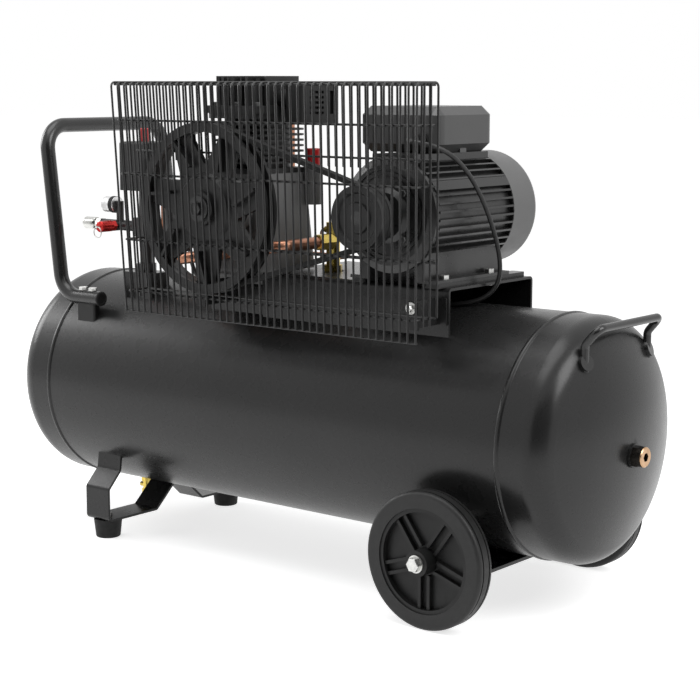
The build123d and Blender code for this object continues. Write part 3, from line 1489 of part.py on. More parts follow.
# Check valve on the tank's socket: a hex foot, a barrel with a side port, and a cap
valve_port_y = valve_y - valve_body_r - valve_port_len
with BuildPart() as check_valve:
    with BuildSketch(level(valve_boss_z, valve_x, valve_y)):
        RegularPolygon(valve_hex_af / 2, 6, major_radius=False)
    extrude(amount=valve_hex_h)
    with BuildSketch(level(valve_boss_z, valve_x, valve_y)):
        Circle(valve_body_r)
    extrude(amount=valve_top_z - valve_boss_z)
    with BuildSketch(level(valve_top_z, valve_x, valve_y)):
        RegularPolygon(valve_body_r, 6, major_radius=True)
    extrude(amount=-valve_hex_h / 2)
    with BuildSketch(front_plane(valve_y, valve_x, valve_port_z)):
        RegularPolygon(valve_port_r, 6, major_radius=False)
    extrude(amount=valve_y - valve_port_y)
finish(check_valve, "check_valve")

# Discharge pipe: from the rear of the head down, round the pump, behind the flywheel to the check valve
pipe_route = [
    (head_port_x, head_port_y, head_port_z),
    (head_port_x, pipe_back_y, head_port_z),
    (head_port_x, pipe_back_y, pipe_low_z),
    (pipe_drop_x, pipe_back_y, pipe_low_z),
    (pipe_drop_x, pipe_cross_y, pipe_low_z),
    (valve_x, pipe_cross_y, valve_port_z),
    (valve_x, valve_port_y, valve_port_z),
]
with BuildPart() as discharge_pipe:
    with BuildLine() as pipe_line:
        FilletPolyline(*pipe_route, radius=pipe_bend_r)
    with BuildSketch(Plane(origin=pipe_line.line @ 0, z_dir=pipe_line.line % 0)):
        Circle(pipe_r)
        Circle(pipe_r - pipe_wall, mode=Mode.SUBTRACT)
    sweep(path=pipe_line.line)
finish(discharge_pipe, "discharge_pipe")

# Unloader tube: a thin line from the check valve round the back of the pump to the switch
tube_port_z = valve_top_z - tube_port_drop
tube_switch_x = control_x + switch_w / 2 - 3 * tube_r
tube_route = [
    (valve_x - valve_body_r, valve_y, tube_port_z),
    (tube_drop_x, valve_y, tube_port_z),
    (tube_drop_x, valve_y, tube_low_z),
    (tube_drop_x, tube_back_y, tube_low_z),
    (tube_switch_x, tube_back_y, tube_low_z),
    (tube_switch_x, control_y + switch_len / 4, tube_low_z),
    (tube_switch_x, control_y + switch_len / 4, switch_z0),
]
with BuildPart() as unloader_tube:
    with BuildLine() as tube_line:
        FilletPolyline(*tube_route, radius=tube_bend_r)
    with BuildSketch(Plane(origin=tube_line.line @ 0, z_dir=tube_line.line % 0)):
        Circle(tube_r)
    sweep(path=tube_line.line)
finish(unloader_tube, "unloader_tube")

# Manifold: a riser on the pedestal, a cross block, an arm along -X and stubs for the fittings
with BuildPart() as control_manifold:
    with BuildSketch(level(pedestal_top_z, control_x, control_y)):
        RegularPolygon(collar_af / 2, 6, major_radius=False)
    extrude(amount=collar_h)
    with BuildSketch(level(pedestal_top_z, control_x, control_y)):
        Circle(riser_r)
    extrude(amount=switch_z0 - pedestal_top_z)
    with BuildSketch(level(manifold_z - manifold_block / 2, control_x, control_y)):
        RectangleRounded(manifold_block, manifold_block, manifold_block / 8)
    extrude(amount=manifold_block)
    with BuildSketch(side_plane(manifold_end_x, control_y, manifold_z)):
        Circle(manifold_r)
    extrude(amount=control_x - manifold_end_x)
    with BuildSketch(level(manifold_z, tee_x, control_y)):
        Circle(stub_r)
    extrude(amount=gauge_z - manifold_z + stub_r)
    with BuildSketch(front_plane(control_y, tee_x, manifold_z)):
        Circle(manifold_r)
    extrude(amount=manifold_r + stub_r)
finish(control_manifold, "control_manifold")

# Pressure gauge: a round case that faces -X, with a recessed dial
gauge_back_x = tee_x - stub_r
gauge_face_x = gauge_back_x - gauge_len
with BuildPart() as pressure_gauge:
    with BuildSketch(side_plane(gauge_back_x, control_y, gauge_z)):
        Circle(gauge_r)
    extrude(amount=-gauge_len)
    fillet(pressure_gauge.faces().sort_by(Axis.X)[-1].edges(), gauge_lip)
    with BuildSketch(side_plane(gauge_face_x, control_y, gauge_z)):
        Circle(gauge_r - gauge_lip)
    extrude(amount=gauge_dial_deep, mode=Mode.SUBTRACT)
    with BuildSketch(side_plane(gauge_face_x + gauge_dial_deep, control_y, gauge_z)):
        Circle(needle_pin_r + run_fit)
    extrude(amount=gauge_dial_deep, mode=Mode.SUBTRACT)
finish(pressure_gauge, "pressure_gauge")

# Gauge needle on its pin, at zero
with BuildPart() as gauge_needle:
    needle_x = gauge_face_x + gauge_dial_deep - needle_t / 2
    with BuildSketch(side_plane(needle_x, control_y, gauge_z)):
        Circle(2 * needle_pin_r)
        with Locations(Rotation(0, 0, needle_zero_deg)):
            with Locations((needle_len / 2, 0)):
                Rectangle(needle_len, needle_pin_r)
    extrude(amount=-needle_t)
    with BuildSketch(side_plane(needle_x, control_y, gauge_z)):
        Circle(needle_pin_r)
    extrude(amount=gauge_dial_deep - needle_t)
finish(gauge_needle, "gauge_needle")

# Safety valve: a hex, a barrel with a bore for its stem
safety_y0 = control_y - manifold_r - stub_r
safety_y1 = safety_y0 - safety_hex_len
safety_end_y = safety_y1 - safety_len
with BuildPart() as safety_valve:
    with BuildSketch(front_plane(safety_y0, tee_x, manifold_z)):
        RegularPolygon(safety_hex_af / 2, 6, major_radius=False)
    extrude(amount=safety_hex_len)
    with BuildSketch(front_plane(safety_y1, tee_x, manifold_z)):
        Circle(safety_r)
    extrude(amount=safety_len)
    fillet(safety_valve.faces().sort_by(Axis.Y)[0].edges(), safety_r / 4)
    with BuildSketch(front_plane(safety_end_y, tee_x, manifold_z)):
        Circle(safety_stem_r + run_fit)
    extrude(amount=-safety_len / 2, mode=Mode.SUBTRACT)
finish(safety_valve, "safety_valve")

# Stem of the safety valve with its pull ring
ring_y = safety_end_y - 2 * safety_stem_r
with BuildPart() as safety_ring:
    with BuildSketch(front_plane(safety_end_y + safety_len / 2 - safety_r / 2, tee_x, manifold_z)):
        Circle(safety_stem_r)
    extrude(amount=safety_len / 2 - safety_r / 2 + 3 * safety_stem_r)
    with Locations(Location((tee_x, ring_y, manifold_z - ring_r), (90, 0, 0))):
        Torus(ring_r, ring_wire_r)
finish(safety_ring, "safety_ring")

# Outlet coupler at the end of the manifold, and its sliding sleeve
coupler_end_x = manifold_end_x - coupler_len
with BuildPart() as outlet_coupler:
    with BuildSketch(side_plane(manifold_end_x, control_y, manifold_z)):
        RegularPolygon(sleeve_r, 6, major_radius=True)
    extrude(amount=-sleeve_back)
    with BuildSketch(side_plane(manifold_end_x, control_y, manifold_z)):
        Circle(coupler_r)
    extrude(amount=-coupler_len)
    with BuildSketch(side_plane(coupler_end_x, control_y, manifold_z)):
        Circle(coupler_r * 0.6)
    extrude(amount=coupler_len / 2, mode=Mode.SUBTRACT)
finish(outlet_coupler, "outlet_coupler")

sleeve_x = coupler_end_x + coupler_r / 4
with BuildPart() as coupler_sleeve:
    with BuildSketch(side_plane(sleeve_x, control_y, manifold_z)):
        Circle(sleeve_r)
        Circle(coupler_r + run_fit, mode=Mode.SUBTRACT)
    extrude(amount=sleeve_len)
    sleeve_rims = coupler_sleeve.edges().filter_by(GeomType.CIRCLE)
    chamfer(sleeve_rims.filter_by(lambda edge: edge.radius > coupler_r + 1), run_fit * 20)
finish(coupler_sleeve, "coupler_sleeve")

# Pressure switch: a moulded box on the riser, and its red pull knob
with BuildPart() as pressure_switch:
    with BuildSketch(level(switch_z0, control_x, control_y)):
        RectangleRounded(switch_w, switch_len, switch_round)
    extrude(amount=switch_z1 - switch_z0)
    fillet(pressure_switch.faces().sort_by(Axis.Z)[-1].edges(), switch_round / 2)
    with BuildSketch(level(switch_z1, control_x, control_y)):
        Circle(knob_stem_r + run_fit)
    extrude(amount=-knob_stem_len, mode=Mode.SUBTRACT)
finish(pressure_switch, "pressure_switch")

with BuildPart() as switch_knob:
    with BuildSketch(level(switch_z1 + seat_gap, control_x, control_y)):
        Circle(knob_r)
    extrude(amount=knob_h)
    fillet(switch_knob.faces().sort_by(Axis.Z)[-1].edges(), knob_r / 4)
    with BuildSketch(level(switch_z1 + seat_gap, control_x, control_y)):
        Circle(knob_stem_r)
    extrude(amount=-knob_stem_len + knob_stem_r / 2)
finish(switch_knob, "switch_knob")
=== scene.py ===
import math
import random

import bmesh
import bpy
from mathutils import Matrix, Vector


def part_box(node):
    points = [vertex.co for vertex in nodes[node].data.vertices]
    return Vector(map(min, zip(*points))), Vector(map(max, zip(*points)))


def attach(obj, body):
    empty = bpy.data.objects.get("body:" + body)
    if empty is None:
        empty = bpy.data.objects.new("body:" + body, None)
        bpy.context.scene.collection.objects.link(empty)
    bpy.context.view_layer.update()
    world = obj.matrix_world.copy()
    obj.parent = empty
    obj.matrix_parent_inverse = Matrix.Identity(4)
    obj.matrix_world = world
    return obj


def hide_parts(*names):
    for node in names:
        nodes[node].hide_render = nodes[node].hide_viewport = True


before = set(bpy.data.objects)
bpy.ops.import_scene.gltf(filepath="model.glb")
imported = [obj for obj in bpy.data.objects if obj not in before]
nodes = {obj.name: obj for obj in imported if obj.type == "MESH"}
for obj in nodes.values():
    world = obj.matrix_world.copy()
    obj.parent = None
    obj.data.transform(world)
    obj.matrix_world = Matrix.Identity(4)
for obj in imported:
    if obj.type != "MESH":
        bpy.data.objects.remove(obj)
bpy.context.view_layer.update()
scene = bpy.context.scene
scene.view_settings.view_transform = "Standard"

# Sizes are in metres. The wheels are at +X, the belt guard faces -Y, and Z = 0 is the floor.
to_left = (-1, 0, 0)
to_wheels = (1, 0, 0)
to_guard = (0, -1, 0)
to_rear = (0, 1, 0)
to_top = (0, 0, 1)


# Materials

# Range that holds most values of a noise texture
noise_low, noise_high = 0.3, 0.7

# Detail of the three noises in a finish, and how much finer its smears are than its clouds
cloud_detail, smear_detail, grain_detail = 4.0, 5.0, 2.0
smear_ratio = 5

# Cells per metre in the grain of a metal
metal_grain = 2500.0


def start_material(name):
    """New node material with its shader, and object coordinates in metres."""
    material = bpy.data.materials.new(name)
    material.use_nodes = True
    tree = material.node_tree
    shader = tree.nodes["Principled BSDF"]
    place = tree.nodes.new("ShaderNodeTexCoord").outputs["Object"]
    return material, tree, shader, place


def noise(tree, place, scale, detail):
    """Noise texture with a number of cells per metre."""
    texture = tree.nodes.new("ShaderNodeTexNoise")
    texture.inputs["Scale"].default_value = scale
    texture.inputs["Detail"].default_value = detail
    tree.links.new(place, texture.inputs["Vector"])
    return texture.outputs["Fac"]


def spread(tree, value, low, high):
    """Noise value stretched to a range."""
    node = tree.nodes.new("ShaderNodeMapRange")
    node.inputs["From Min"].default_value = noise_low
    node.inputs["From Max"].default_value = noise_high
    node.inputs["To Min"].default_value = low
    node.inputs["To Max"].default_value = high
    tree.links.new(value, node.inputs["Value"])
    return node.outputs["Result"]


def two_tone(tree, value, low, high):
    """Colour between two tones by a noise value."""
    ramp = tree.nodes.new("ShaderNodeValToRGB")
    ramp.color_ramp.elements[0].position = noise_low
    ramp.color_ramp.elements[1].position = noise_high
    ramp.color_ramp.elements[0].color = (*low, 1)
    ramp.color_ramp.elements[1].color = (*high, 1)
    tree.links.new(value, ramp.inputs["Fac"])
    return ramp.outputs["Color"]


def relief(tree, shader, height, depth):
    """Bump of a depth in metres."""
    bump = tree.nodes.new("ShaderNodeBump")
    bump.inputs["Distance"].default_value = depth
    bump.inputs["Strength"].default_value = 1.0
    tree.links.new(height, bump.inputs["Height"])
    tree.links.new(bump.outputs["Normal"], shader.inputs["Normal"])


def finish_of(name, low, high, rough, cloud=9.0, grain=900.0, depth=2e-5, metallic=0.0, shine=0.4):
    """Material with clouded colour, uneven gloss and a fine surface grain."""
    material, tree, shader, place = start_material(name)
    shader.inputs["Metallic"].default_value = metallic
    shader.inputs["Specular IOR Level"].default_value = shine
    clouds = noise(tree, place, cloud, cloud_detail)
    tree.links.new(two_tone(tree, clouds, low, high), shader.inputs["Base Color"])
    smears = noise(tree, place, cloud * smear_ratio, smear_detail)
    tree.links.new(spread(tree, smears, *rough), shader.inputs["Roughness"])
    relief(tree, shader, noise(tree, place, grain, grain_detail), depth)
    return material


def grey(name, low, high, rough, **more):
    """Neutral finish between two grey levels."""
    return finish_of(name, (low,) * 3, (high,) * 3, rough, **more)


def metal(name, low, high, rough, cloud=90.0, depth=2e-5):
    """Bare or plated metal."""
    return finish_of(name, low, high, rough, cloud, metal_grain, depth, metallic=1.0)


# Paints
paint = grey("satin_black_paint", 0.015, 0.019, (0.26, 0.29), grain=420.0, shine=0.32)
tube_paint = grey("tube_paint", 0.012, 0.016, (0.25, 0.3), grain=700.0, shine=0.5)
wire_paint = grey("wire_paint", 0.013, 0.018, (0.35, 0.45), depth=3e-5)
cast_black = grey("cast_black_paint", 0.012, 0.02, (0.32, 0.46), cloud=25.0, grain=650.0, depth=2e-4)
cast_grey = grey("cast_grey_paint", 0.135, 0.165, (0.42, 0.56), cloud=25.0, grain=700.0, depth=2e-4)
motor_paint = grey(
    "motor_paint", 0.01, 0.015, (0.26, 0.36), cloud=20.0, grain=700.0, depth=6e-5, shine=0.5,
)
cover_paint = grey("cover_paint", 0.115, 0.132, (0.4, 0.48), grain=800.0, depth=4e-5)

# Plastics and rubbers
box_plastic = grey("box_plastic", 0.05, 0.06, (0.3, 0.38), grain=1300.0, depth=5e-5, shine=0.5)
black_plastic = grey("black_plastic", 0.009, 0.013, (0.4, 0.52), grain=1500.0, depth=8e-5, shine=0.3)
wheel_plastic = grey("wheel_plastic", 0.009, 0.013, (0.42, 0.54), grain=1400.0, depth=8e-5, shine=0.3)
red_plastic = finish_of(
    "red_plastic", (0.42, 0.012, 0.014), (0.52, 0.02, 0.02), (0.28, 0.38), cloud=60.0, grain=1500.0,
)
tyre_rubber = grey(
    "tyre_rubber", 0.013, 0.018, (0.42, 0.55), cloud=30.0, grain=1200.0, depth=8e-5, shine=0.35,
)
rubber = grey("rubber", 0.012, 0.018, (0.55, 0.72), cloud=30.0, grain=1200.0, depth=1e-4, shine=0.3)
cable_skin = grey("cable_skin", 0.014, 0.02, (0.4, 0.5), cloud=40.0, grain=1500.0, depth=4e-5)

# Face of the gauge
dial_white = grey("dial_white", 0.72, 0.78, (0.4, 0.5), cloud=60.0, grain=1500.0, depth=1e-5)
dial_ink = grey("dial_ink", 0.012, 0.02, (0.5, 0.6), cloud=60.0, grain=1500.0, depth=1e-5)

# Metals
zinc = metal("zinc_plate", (0.5, 0.5, 0.49), (0.66, 0.66, 0.64), (0.24, 0.38), cloud=120.0)
dark_steel = metal("dark_steel", (0.06, 0.06, 0.06), (0.1, 0.1, 0.1), (0.36, 0.5), cloud=120.0)
brass = metal("brass", (0.62, 0.46, 0.1), (0.78, 0.6, 0.16), (0.24, 0.36))
copper = metal("copper", (0.34, 0.15, 0.09), (0.5, 0.25, 0.16), (0.28, 0.42), cloud=45.0)
chrome = metal("chrome", (0.5, 0.5, 0.48), (0.62, 0.62, 0.6), (0.16, 0.26), depth=5e-6)
satin_steel = metal("satin_steel", (0.72, 0.72, 0.72), (0.82, 0.82, 0.82), (0.34, 0.44), depth=5e-6)
red_anodised = finish_of(
    "red_anodised", (0.55, 0.02, 0.018), (0.68, 0.035, 0.03), (0.22, 0.32),
    cloud=70.0, grain=1800.0, metallic=0.6,
)


def lens_glass():
    """Clear acrylic with a faint unevenness."""
    material, tree, shader, place = start_material("lens")
    shader.inputs["Base Color"].default_value = (0.95, 0.96, 0.96, 1)
    shader.inputs["Transmission Weight"].default_value = 1.0
    shader.inputs["IOR"].default_value = 1.3
    haze = noise(tree, place, scale=60.0, detail=3.0)
    tree.links.new(spread(tree, haze, 0.02, 0.06), shader.inputs["Roughness"])
    return material


def plug_finish():
    """Blackened plugs with a bare bronze face at each end of the tank."""
    # Distance from the tank's middle beyond which a plug is bare
    face_x = 0.6016
    blackened = (0.05, 0.045, 0.04, 1)
    material = metal("plug_bronze", (0.4, 0.25, 0.14), (0.54, 0.35, 0.21), (0.24, 0.36))
    tree = material.node_tree
    shader = tree.nodes["Principled BSDF"]
    bare = shader.inputs["Base Color"].links[0].from_socket
    place = tree.nodes.new("ShaderNodeTexCoord").outputs["Object"]
    split = tree.nodes.new("ShaderNodeSeparateXYZ")
    tree.links.new(place, split.inputs[0])
    distance = tree.nodes.new("ShaderNodeMath")
    distance.operation = "ABSOLUTE"
    tree.links.new(split.outputs["X"], distance.inputs[0])
    at_face = tree.nodes.new("ShaderNodeMath")
    at_face.operation = "GREATER_THAN"
    at_face.inputs[1].default_value = face_x
    tree.links.new(distance.outputs[0], at_face.inputs[0])
    mix = tree.nodes.new("ShaderNodeMix")
    mix.data_type = "RGBA"
    # The mix node's colour sockets go by number, since its sockets of other kinds have the same names
    colour_a, colour_b, colour_out = mix.inputs[6], mix.inputs[7], mix.outputs[2]
    colour_a.default_value = blackened
    tree.links.new(at_face.outputs[0], mix.inputs[0])
    tree.links.new(bare, colour_b)
    tree.links.new(colour_out, shader.inputs["Base Color"])
    return material


lens = lens_glass()
plug_bronze = plug_finish()

node_materials = {
    paint: [
        "tank_shell", "end_cap_left", "end_cap_right", "tank_bosses", "foot_strap", "wheel_bracket",
        "motor_deck", "pump_saddle", "guard_brackets", "motor_rails",
    ],
    tube_paint: ["pull_handle", "carry_handle"],
    cast_black: [
        "flywheel", "motor_pulley", "cylinder_block", "cylinder_head", "crankshaft",
        "control_manifold",
    ],
    cast_grey: ["crankcase"],
    motor_paint: ["motor_frame", "end_shields"],
    cover_paint: ["fan_cover"],
    box_plastic: ["terminal_base", "terminal_lid"],
    # The handle clamps take this darker black instead of the tank's paint. The dark tone is partly
    # their own black and partly painted shade from the handle tube above them.
    black_plastic: [
        "pressure_switch", "handle_clamps", "cable_glands", "air_filter", "cooling_fan",
        "gauge_needle",
    ],
    wheel_plastic: ["wheel_rim_front", "wheel_rim_rear"],
    tyre_rubber: ["wheel_tyre_front", "wheel_tyre_rear"],
    rubber: ["rubber_feet", "drive_belt"],
    zinc: ["axle_bolts", "frame_bolts", "shaft_bearings", "safety_ring"],
    dark_steel: ["head_bolts", "flywheel_bolt", "motor_shaft"],
    brass: ["drain_cock", "drain_knob", "check_valve"],
    plug_bronze: ["inspection_plugs"],
    copper: ["discharge_pipe", "unloader_tube"],
    chrome: ["outlet_coupler", "coupler_sleeve"],
    satin_steel: ["pressure_gauge"],
    red_plastic: ["switch_knob", "oil_cap"],
    red_anodised: ["safety_valve"],
    cable_skin: ["motor_cable"],
    wire_paint: ["guard_front", "guard_top", "guard_ends", "guard_rear"],
}
for material, names in node_materials.items():
    for name in names:
        nodes[name].data.materials.clear()
        nodes[name].data.materials.append(material)


# Mesh building

# Edges sharper than this stay sharp in the shading of an added piece
sharp_deg = 38


def make_piece(name, mesh_builder, material):
    """Object on the base from a mesh builder, with its finish."""
    mesh = bpy.data.meshes.new(name)
    bmesh.ops.recalc_face_normals(mesh_builder, faces=mesh_builder.faces)
    mesh_builder.to_mesh(mesh)
    mesh_builder.free()
    mesh.materials.append(material)
    mesh.shade_smooth()
    mesh.set_sharp_from_angle(angle=math.radians(sharp_deg))
    piece = bpy.data.objects.new(name, mesh)
    scene.collection.objects.link(piece)
    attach(piece, "base")
    return piece


def add_ring(mesh, centre, side, across, radius, sides):
    """Ring of vertices about a centre, in the plane of two unit directions."""
    ring = []
    for step in range(sides):
        angle = 2 * math.pi * step / sides
        out = math.cos(angle) * side + math.sin(angle) * across
        ring.append(mesh.verts.new(centre + radius * out))
    return ring


def join_rings(mesh, first, second):
    """Faces between two rings with the same count."""
    for step in range(len(first)):
        follow = (step + 1) % len(first)
        mesh.faces.new((first[step], first[follow], second[follow], second[step]))


def add_tube(mesh, points, radius, sides=8):
    """Round wire along a line of points, closed at both ends."""
    points = [Vector(point) for point in points]
    along = (points[1] - points[0]).normalized()
    side = along.orthogonal().normalized()
    rings = []
    for index, point in enumerate(points):
        before = points[max(index - 1, 0)]
        after = points[min(index + 1, len(points) - 1)]
        turned = (after - before).normalized()
        side = along.rotation_difference(turned) @ side
        along = turned
        rings.append(add_ring(mesh, point, side, along.cross(side), radius, sides))
    for first, second in zip(rings, rings[1:]):
        join_rings(mesh, first, second)
    mesh.faces.new(rings[0][::-1])
    mesh.faces.new(rings[-1])


def bent_wire(corners, radius, steps=4):
    """Points of a rigid wire bent at its corners."""
    corners = [Vector(corner) for corner in corners]
    points = [corners[0]]
    for before, here, after in zip(corners, corners[1:], corners[2:]):
        back = (before - here).normalized()
        on = (after - here).normalized()
        half = back.angle(on) / 2
        reach = radius / math.tan(half)
        centre = here + (back + on).normalized() * radius / math.sin(half)
        start = here + back * reach - centre
        end = here + on * reach - centre
        for step in range(steps + 1):
            points.append(centre + start.slerp(end, step / steps).normalized() * radius)
    points.append(corners[-1])
    return points


def placed(origin, axis):
    """Matrix that carries local Z to an axis at a point."""
    turn = Vector(axis).to_track_quat("Z", "Y").to_matrix().to_4x4()
    return Matrix.Translation(Vector(origin)) @ turn


def add_turned(mesh, profile, origin, axis, sides):
    """Solid turned from (radius, height) points about an axis."""
    where = placed(origin, axis)
    rings = []
    for radius, height in profile:
        if radius == 0:
            rings.append([mesh.verts.new(where @ Vector((0, 0, height)))])
            continue
        ring = []
        for step in range(sides):
            angle = 2 * math.pi * step / sides
            spot = Vector((radius * math.cos(angle), radius * math.sin(angle), height))
            ring.append(mesh.verts.new(where @ spot))
        rings.append(ring)
    for first, second in zip(rings, rings[1:]):
        if len(first) == len(second):
            join_rings(mesh, first, second)
            continue
        for step in range(sides):
            follow = (step + 1) % sides
            if len(first) == 1:
                mesh.faces.new((first[0], second[follow], second[step]))
            else:
                mesh.faces.new((first[step], first[follow], second[0]))


def add_sleeve(mesh, inner, outer, length, bevel, origin, axis, sides):
    """Nut or collar with a through hole and a bevelled free end."""
    profile = [
        (inner, 0),
        (outer, 0),
        (outer, length - bevel),
        (outer - bevel, length),
        (inner, length),
        (inner, 0),
    ]
    add_turned(mesh, profile, origin, axis, sides)


def add_bolt(mesh, origin, axis, across, height):
    """Hex head with a chamfered top, on a washer."""
    washer_r = across * 0.95
    washer_t = height * 0.25
    corner_r = across / 2 / math.cos(math.pi / 6)
    chamfer_r = corner_r * 0.86
    shoulder = washer_t + height * 0.85
    top = washer_t + height
    washer = [(0, 0), (washer_r, 0), (washer_r, washer_t), (0, washer_t)]
    add_turned(mesh, washer, origin, axis, sides=24)
    head = [(0, washer_t), (corner_r, washer_t), (corner_r, shoulder), (chamfer_r, top), (0, top)]
    add_turned(mesh, head, origin, axis, sides=6)


# Added pieces


def guard_cage():
    """Belt guard of round welded wires in place of the plain panels."""
    gaps = 42
    lean = 0.026
    upright_bend = 0.007
    row_bend = 0.006
    short_end_z = 0.656
    row_heights = (0.448, 0.53, 0.634, 0.719)
    rear_heights = (0.526, 0.67)
    end_drop = 0.012
    low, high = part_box("guard_front")
    rear_low, rear_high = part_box("guard_rear")
    end_low, end_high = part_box("guard_ends")
    wire = high[1] - low[1]
    half = wire / 2
    x0, x1 = low[0] + half, high[0] - half
    front, inner = low[1] + half, low[1] + wire * 1.5
    back, back_inner = rear_high[1] - half, rear_high[1] - wire * 1.5
    foot, top, under = low[2] + half, high[2] - half, high[2] - wire * 1.5
    rear_foot = rear_low[2] + half
    mesh = bmesh.new()

    def leaned(x, y, z):
        """Place of a point when the left end's wires lean out at the top, and the right end's stand."""
        share = (x1 - x) / (x1 - x0)
        return (x + lean * share * (0.5 - (z - foot) / (top - foot)), y, z)

    for number in range(gaps + 1):
        x = x0 + (x1 - x0) * number / gaps
        end = short_end_z if 0 < number < gaps else rear_foot
        corners = [(x, front, foot), (x, front, top), (x, back, top), (x, back, end)]
        corners = [leaned(*corner) for corner in corners]
        add_tube(mesh, bent_wire(corners, upright_bend), half)
    add_tube(mesh, [leaned(x0, inner, foot), leaned(x1, inner, foot)], half)
    left, right = x0 + wire, x1 - wire
    for z in row_heights:
        corners = [(left, back_inner, z), (left, inner, z), (right, inner, z), (right, back_inner, z)]
        corners = [leaned(*corner) for corner in corners]
        add_tube(mesh, bent_wire(corners, row_bend), half)
    for y in (inner + wire, back_inner - wire):
        add_tube(mesh, [leaned(x0, y, under), leaned(x1, y, under)], half)
    for z in (rear_foot, *rear_heights):
        add_tube(mesh, [leaned(x0, back_inner, z), leaned(x1, back_inner, z)], half)
    for x in (x0, x1):
        for share in (1 / 3, 2 / 3):
            y = end_low[1] + (end_high[1] - end_low[1]) * share
            end_foot = leaned(x, y, end_low[2] + half - end_drop)
            add_tube(mesh, [end_foot, leaned(x, y, end_high[2])], half)
    piece = make_piece("guard_wires", mesh, wire_paint)
    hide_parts("guard_front", "guard_top", "guard_ends", "guard_rear")


# Route of the motor cable, the same as its solid's, in millimetres
cable_route = [
    (262, -93.5, 694), (262, -114, 694), (270, -134, 694), (287, -147.5, 693.5),
    (308.5, -149.5, 692), (327, -139.5, 687.5), (339, -120, 677), (345, -96, 659),
    (348, -69, 632), (350.5, -43, 595), (351.5, -20, 553), (351.5, -6, 515),
    (348.5, -3, 485), (338, -9, 464), (317, -20, 451), (288, -33, 446),
    (244, -46, 443.2), (188, -55, 440.6), (120, -60, 438.9), (48, -62, 438.2),
    (-24, -59, 439.3), (-90, -58, 439.6), (-142, -61, 438.6), (-180, -65, 439.5),
    (-204, -69, 446), (-219, -73, 461), (-226, -76, 483), (-228, -78.5, 514),
    (-227.5, -80, 548), (-227.5, -80, 584.5), (-238, -80, 603), (-257, -80, 614),
    (-279, -80, 614),
]
mm_per_metre = 1000


def motor_cable():
    """Cable from the terminal box, under the deck and up to the pressure switch."""
    curve = bpy.data.curves.new("cable", "CURVE")
    curve.dimensions = "3D"
    curve.bevel_depth = 0.0035
    curve.bevel_resolution = 4
    curve.resolution_u = 8
    curve.use_fill_caps = True
    spline = curve.splines.new("NURBS")
    spline.points.add(len(cable_route) - 1)
    for point, (x, y, z) in zip(spline.points, cable_route):
        point.co = (x / mm_per_metre, y / mm_per_metre, z / mm_per_metre, 1)
    spline.order_u = 3
    spline.use_endpoint_u = True
    curve.materials.append(cable_skin)
    cable = bpy.data.objects.new("cable", curve)
    scene.collection.objects.link(cable)
    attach(cable, "base")
    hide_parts("motor_cable")


def weld_beads():
    """Uneven weld bead round both seams of the tank."""
    steps = 180
    sides = 8
    bead_r = 0.0027
    bead_sink = 0.001
    wander = 0.0004
    swell = 0.0005
    rough = random.Random(5)
    low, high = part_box("tank_shell")
    middle_z = (low[2] + high[2]) / 2
    seat_r = (high[2] - low[2]) / 2 - bead_sink
    mesh = bmesh.new()
    for seam_x in (low[0], high[0]):
        rings = []
        for step in range(steps):
            angle = 2 * math.pi * step / steps
            out = Vector((0, math.cos(angle), math.sin(angle)))
            x = seam_x + rough.uniform(-wander, wander)
            radius = bead_r + rough.uniform(0, swell)
            centre = Vector((x, 0, middle_z)) + out * seat_r
            rings.append(add_ring(mesh, centre, out, Vector(to_wheels), radius, sides))
        for first, second in zip(rings, rings[1:] + rings[:1]):
            join_rings(mesh, first, second)
    make_piece("weld_beads", mesh, paint)


def small_bolts():
    """Screws of the terminal box's lid, and bolts in the motor's front shield."""
    head_r, top_r = 0.0042, 0.0034
    bevel_h, top_h = 0.0012, 0.002
    recess_r, recess_floor = 0.0012, 0.0008
    sunk = 0.001
    lid_drop = 0.002
    screw_dx, screw_dy = 0.053, 0.048
    screw = [
        (0, -sunk),
        (head_r, -sunk),
        (head_r, bevel_h),
        (top_r, top_h),
        (recess_r, top_h),
        (recess_r, recess_floor),
        (0, recess_floor),
    ]
    low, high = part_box("terminal_lid")
    lid_x, lid_y = (low[0] + high[0]) / 2, (low[1] + high[1]) / 2
    mesh = bmesh.new()
    for dx in (-screw_dx, screw_dx):
        for dy in (-screw_dy, screw_dy):
            spot = (lid_x + dx, lid_y + dy, high[2] - lid_drop)
            add_turned(mesh, screw, spot, to_top, sides=20)

    shaft_x, shaft_z = 0.243, 0.585
    bolt_circle_r = 0.048
    shield_rise = 0.0138
    face_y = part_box("motor_frame")[0][1] - shield_rise
    for turn_deg in (45, 135, 225, 315):
        angle = math.radians(turn_deg)
        x = shaft_x + bolt_circle_r * math.cos(angle)
        z = shaft_z + bolt_circle_r * math.sin(angle)
        add_bolt(mesh, (x, face_y, z), to_guard, across=0.009, height=0.005)
    make_piece("small_bolts", mesh, dark_steel)


def guard_bolts():
    """Bolts that hold the guard to its two brackets."""
    bracket_y, bracket_z = -0.1876, 0.458
    mesh = bmesh.new()
    for bracket_x in (0.322, -0.099):
        add_bolt(mesh, (bracket_x, bracket_y, bracket_z), to_guard, across=0.0095, height=0.006)
    make_piece("guard_bolts", mesh, zinc)


def pipe_nuts():
    """Union nuts of the discharge pipe at the head and the check valve, and of the thin tube."""
    pipe_nut = {"inner": 0.0097, "outer": 0.0138, "length": 0.0165, "bevel": 0.0014}
    tube_nut = {"inner": 0.0032, "outer": 0.0056, "length": 0.005, "bevel": 0.0006}
    head_port = (-0.095, -0.0118, 0.756)
    valve_port = (0.046, -0.0532, 0.528)
    tube_port = (0.0352, -0.03, 0.546)
    mesh = bmesh.new()
    add_sleeve(mesh, **pipe_nut, origin=head_port, axis=to_rear, sides=6)
    add_sleeve(mesh, **pipe_nut, origin=valve_port, axis=to_guard, sides=6)
    add_sleeve(mesh, **tube_nut, origin=tube_port, axis=to_left, sides=6)
    make_piece("pipe_nuts", mesh, brass)


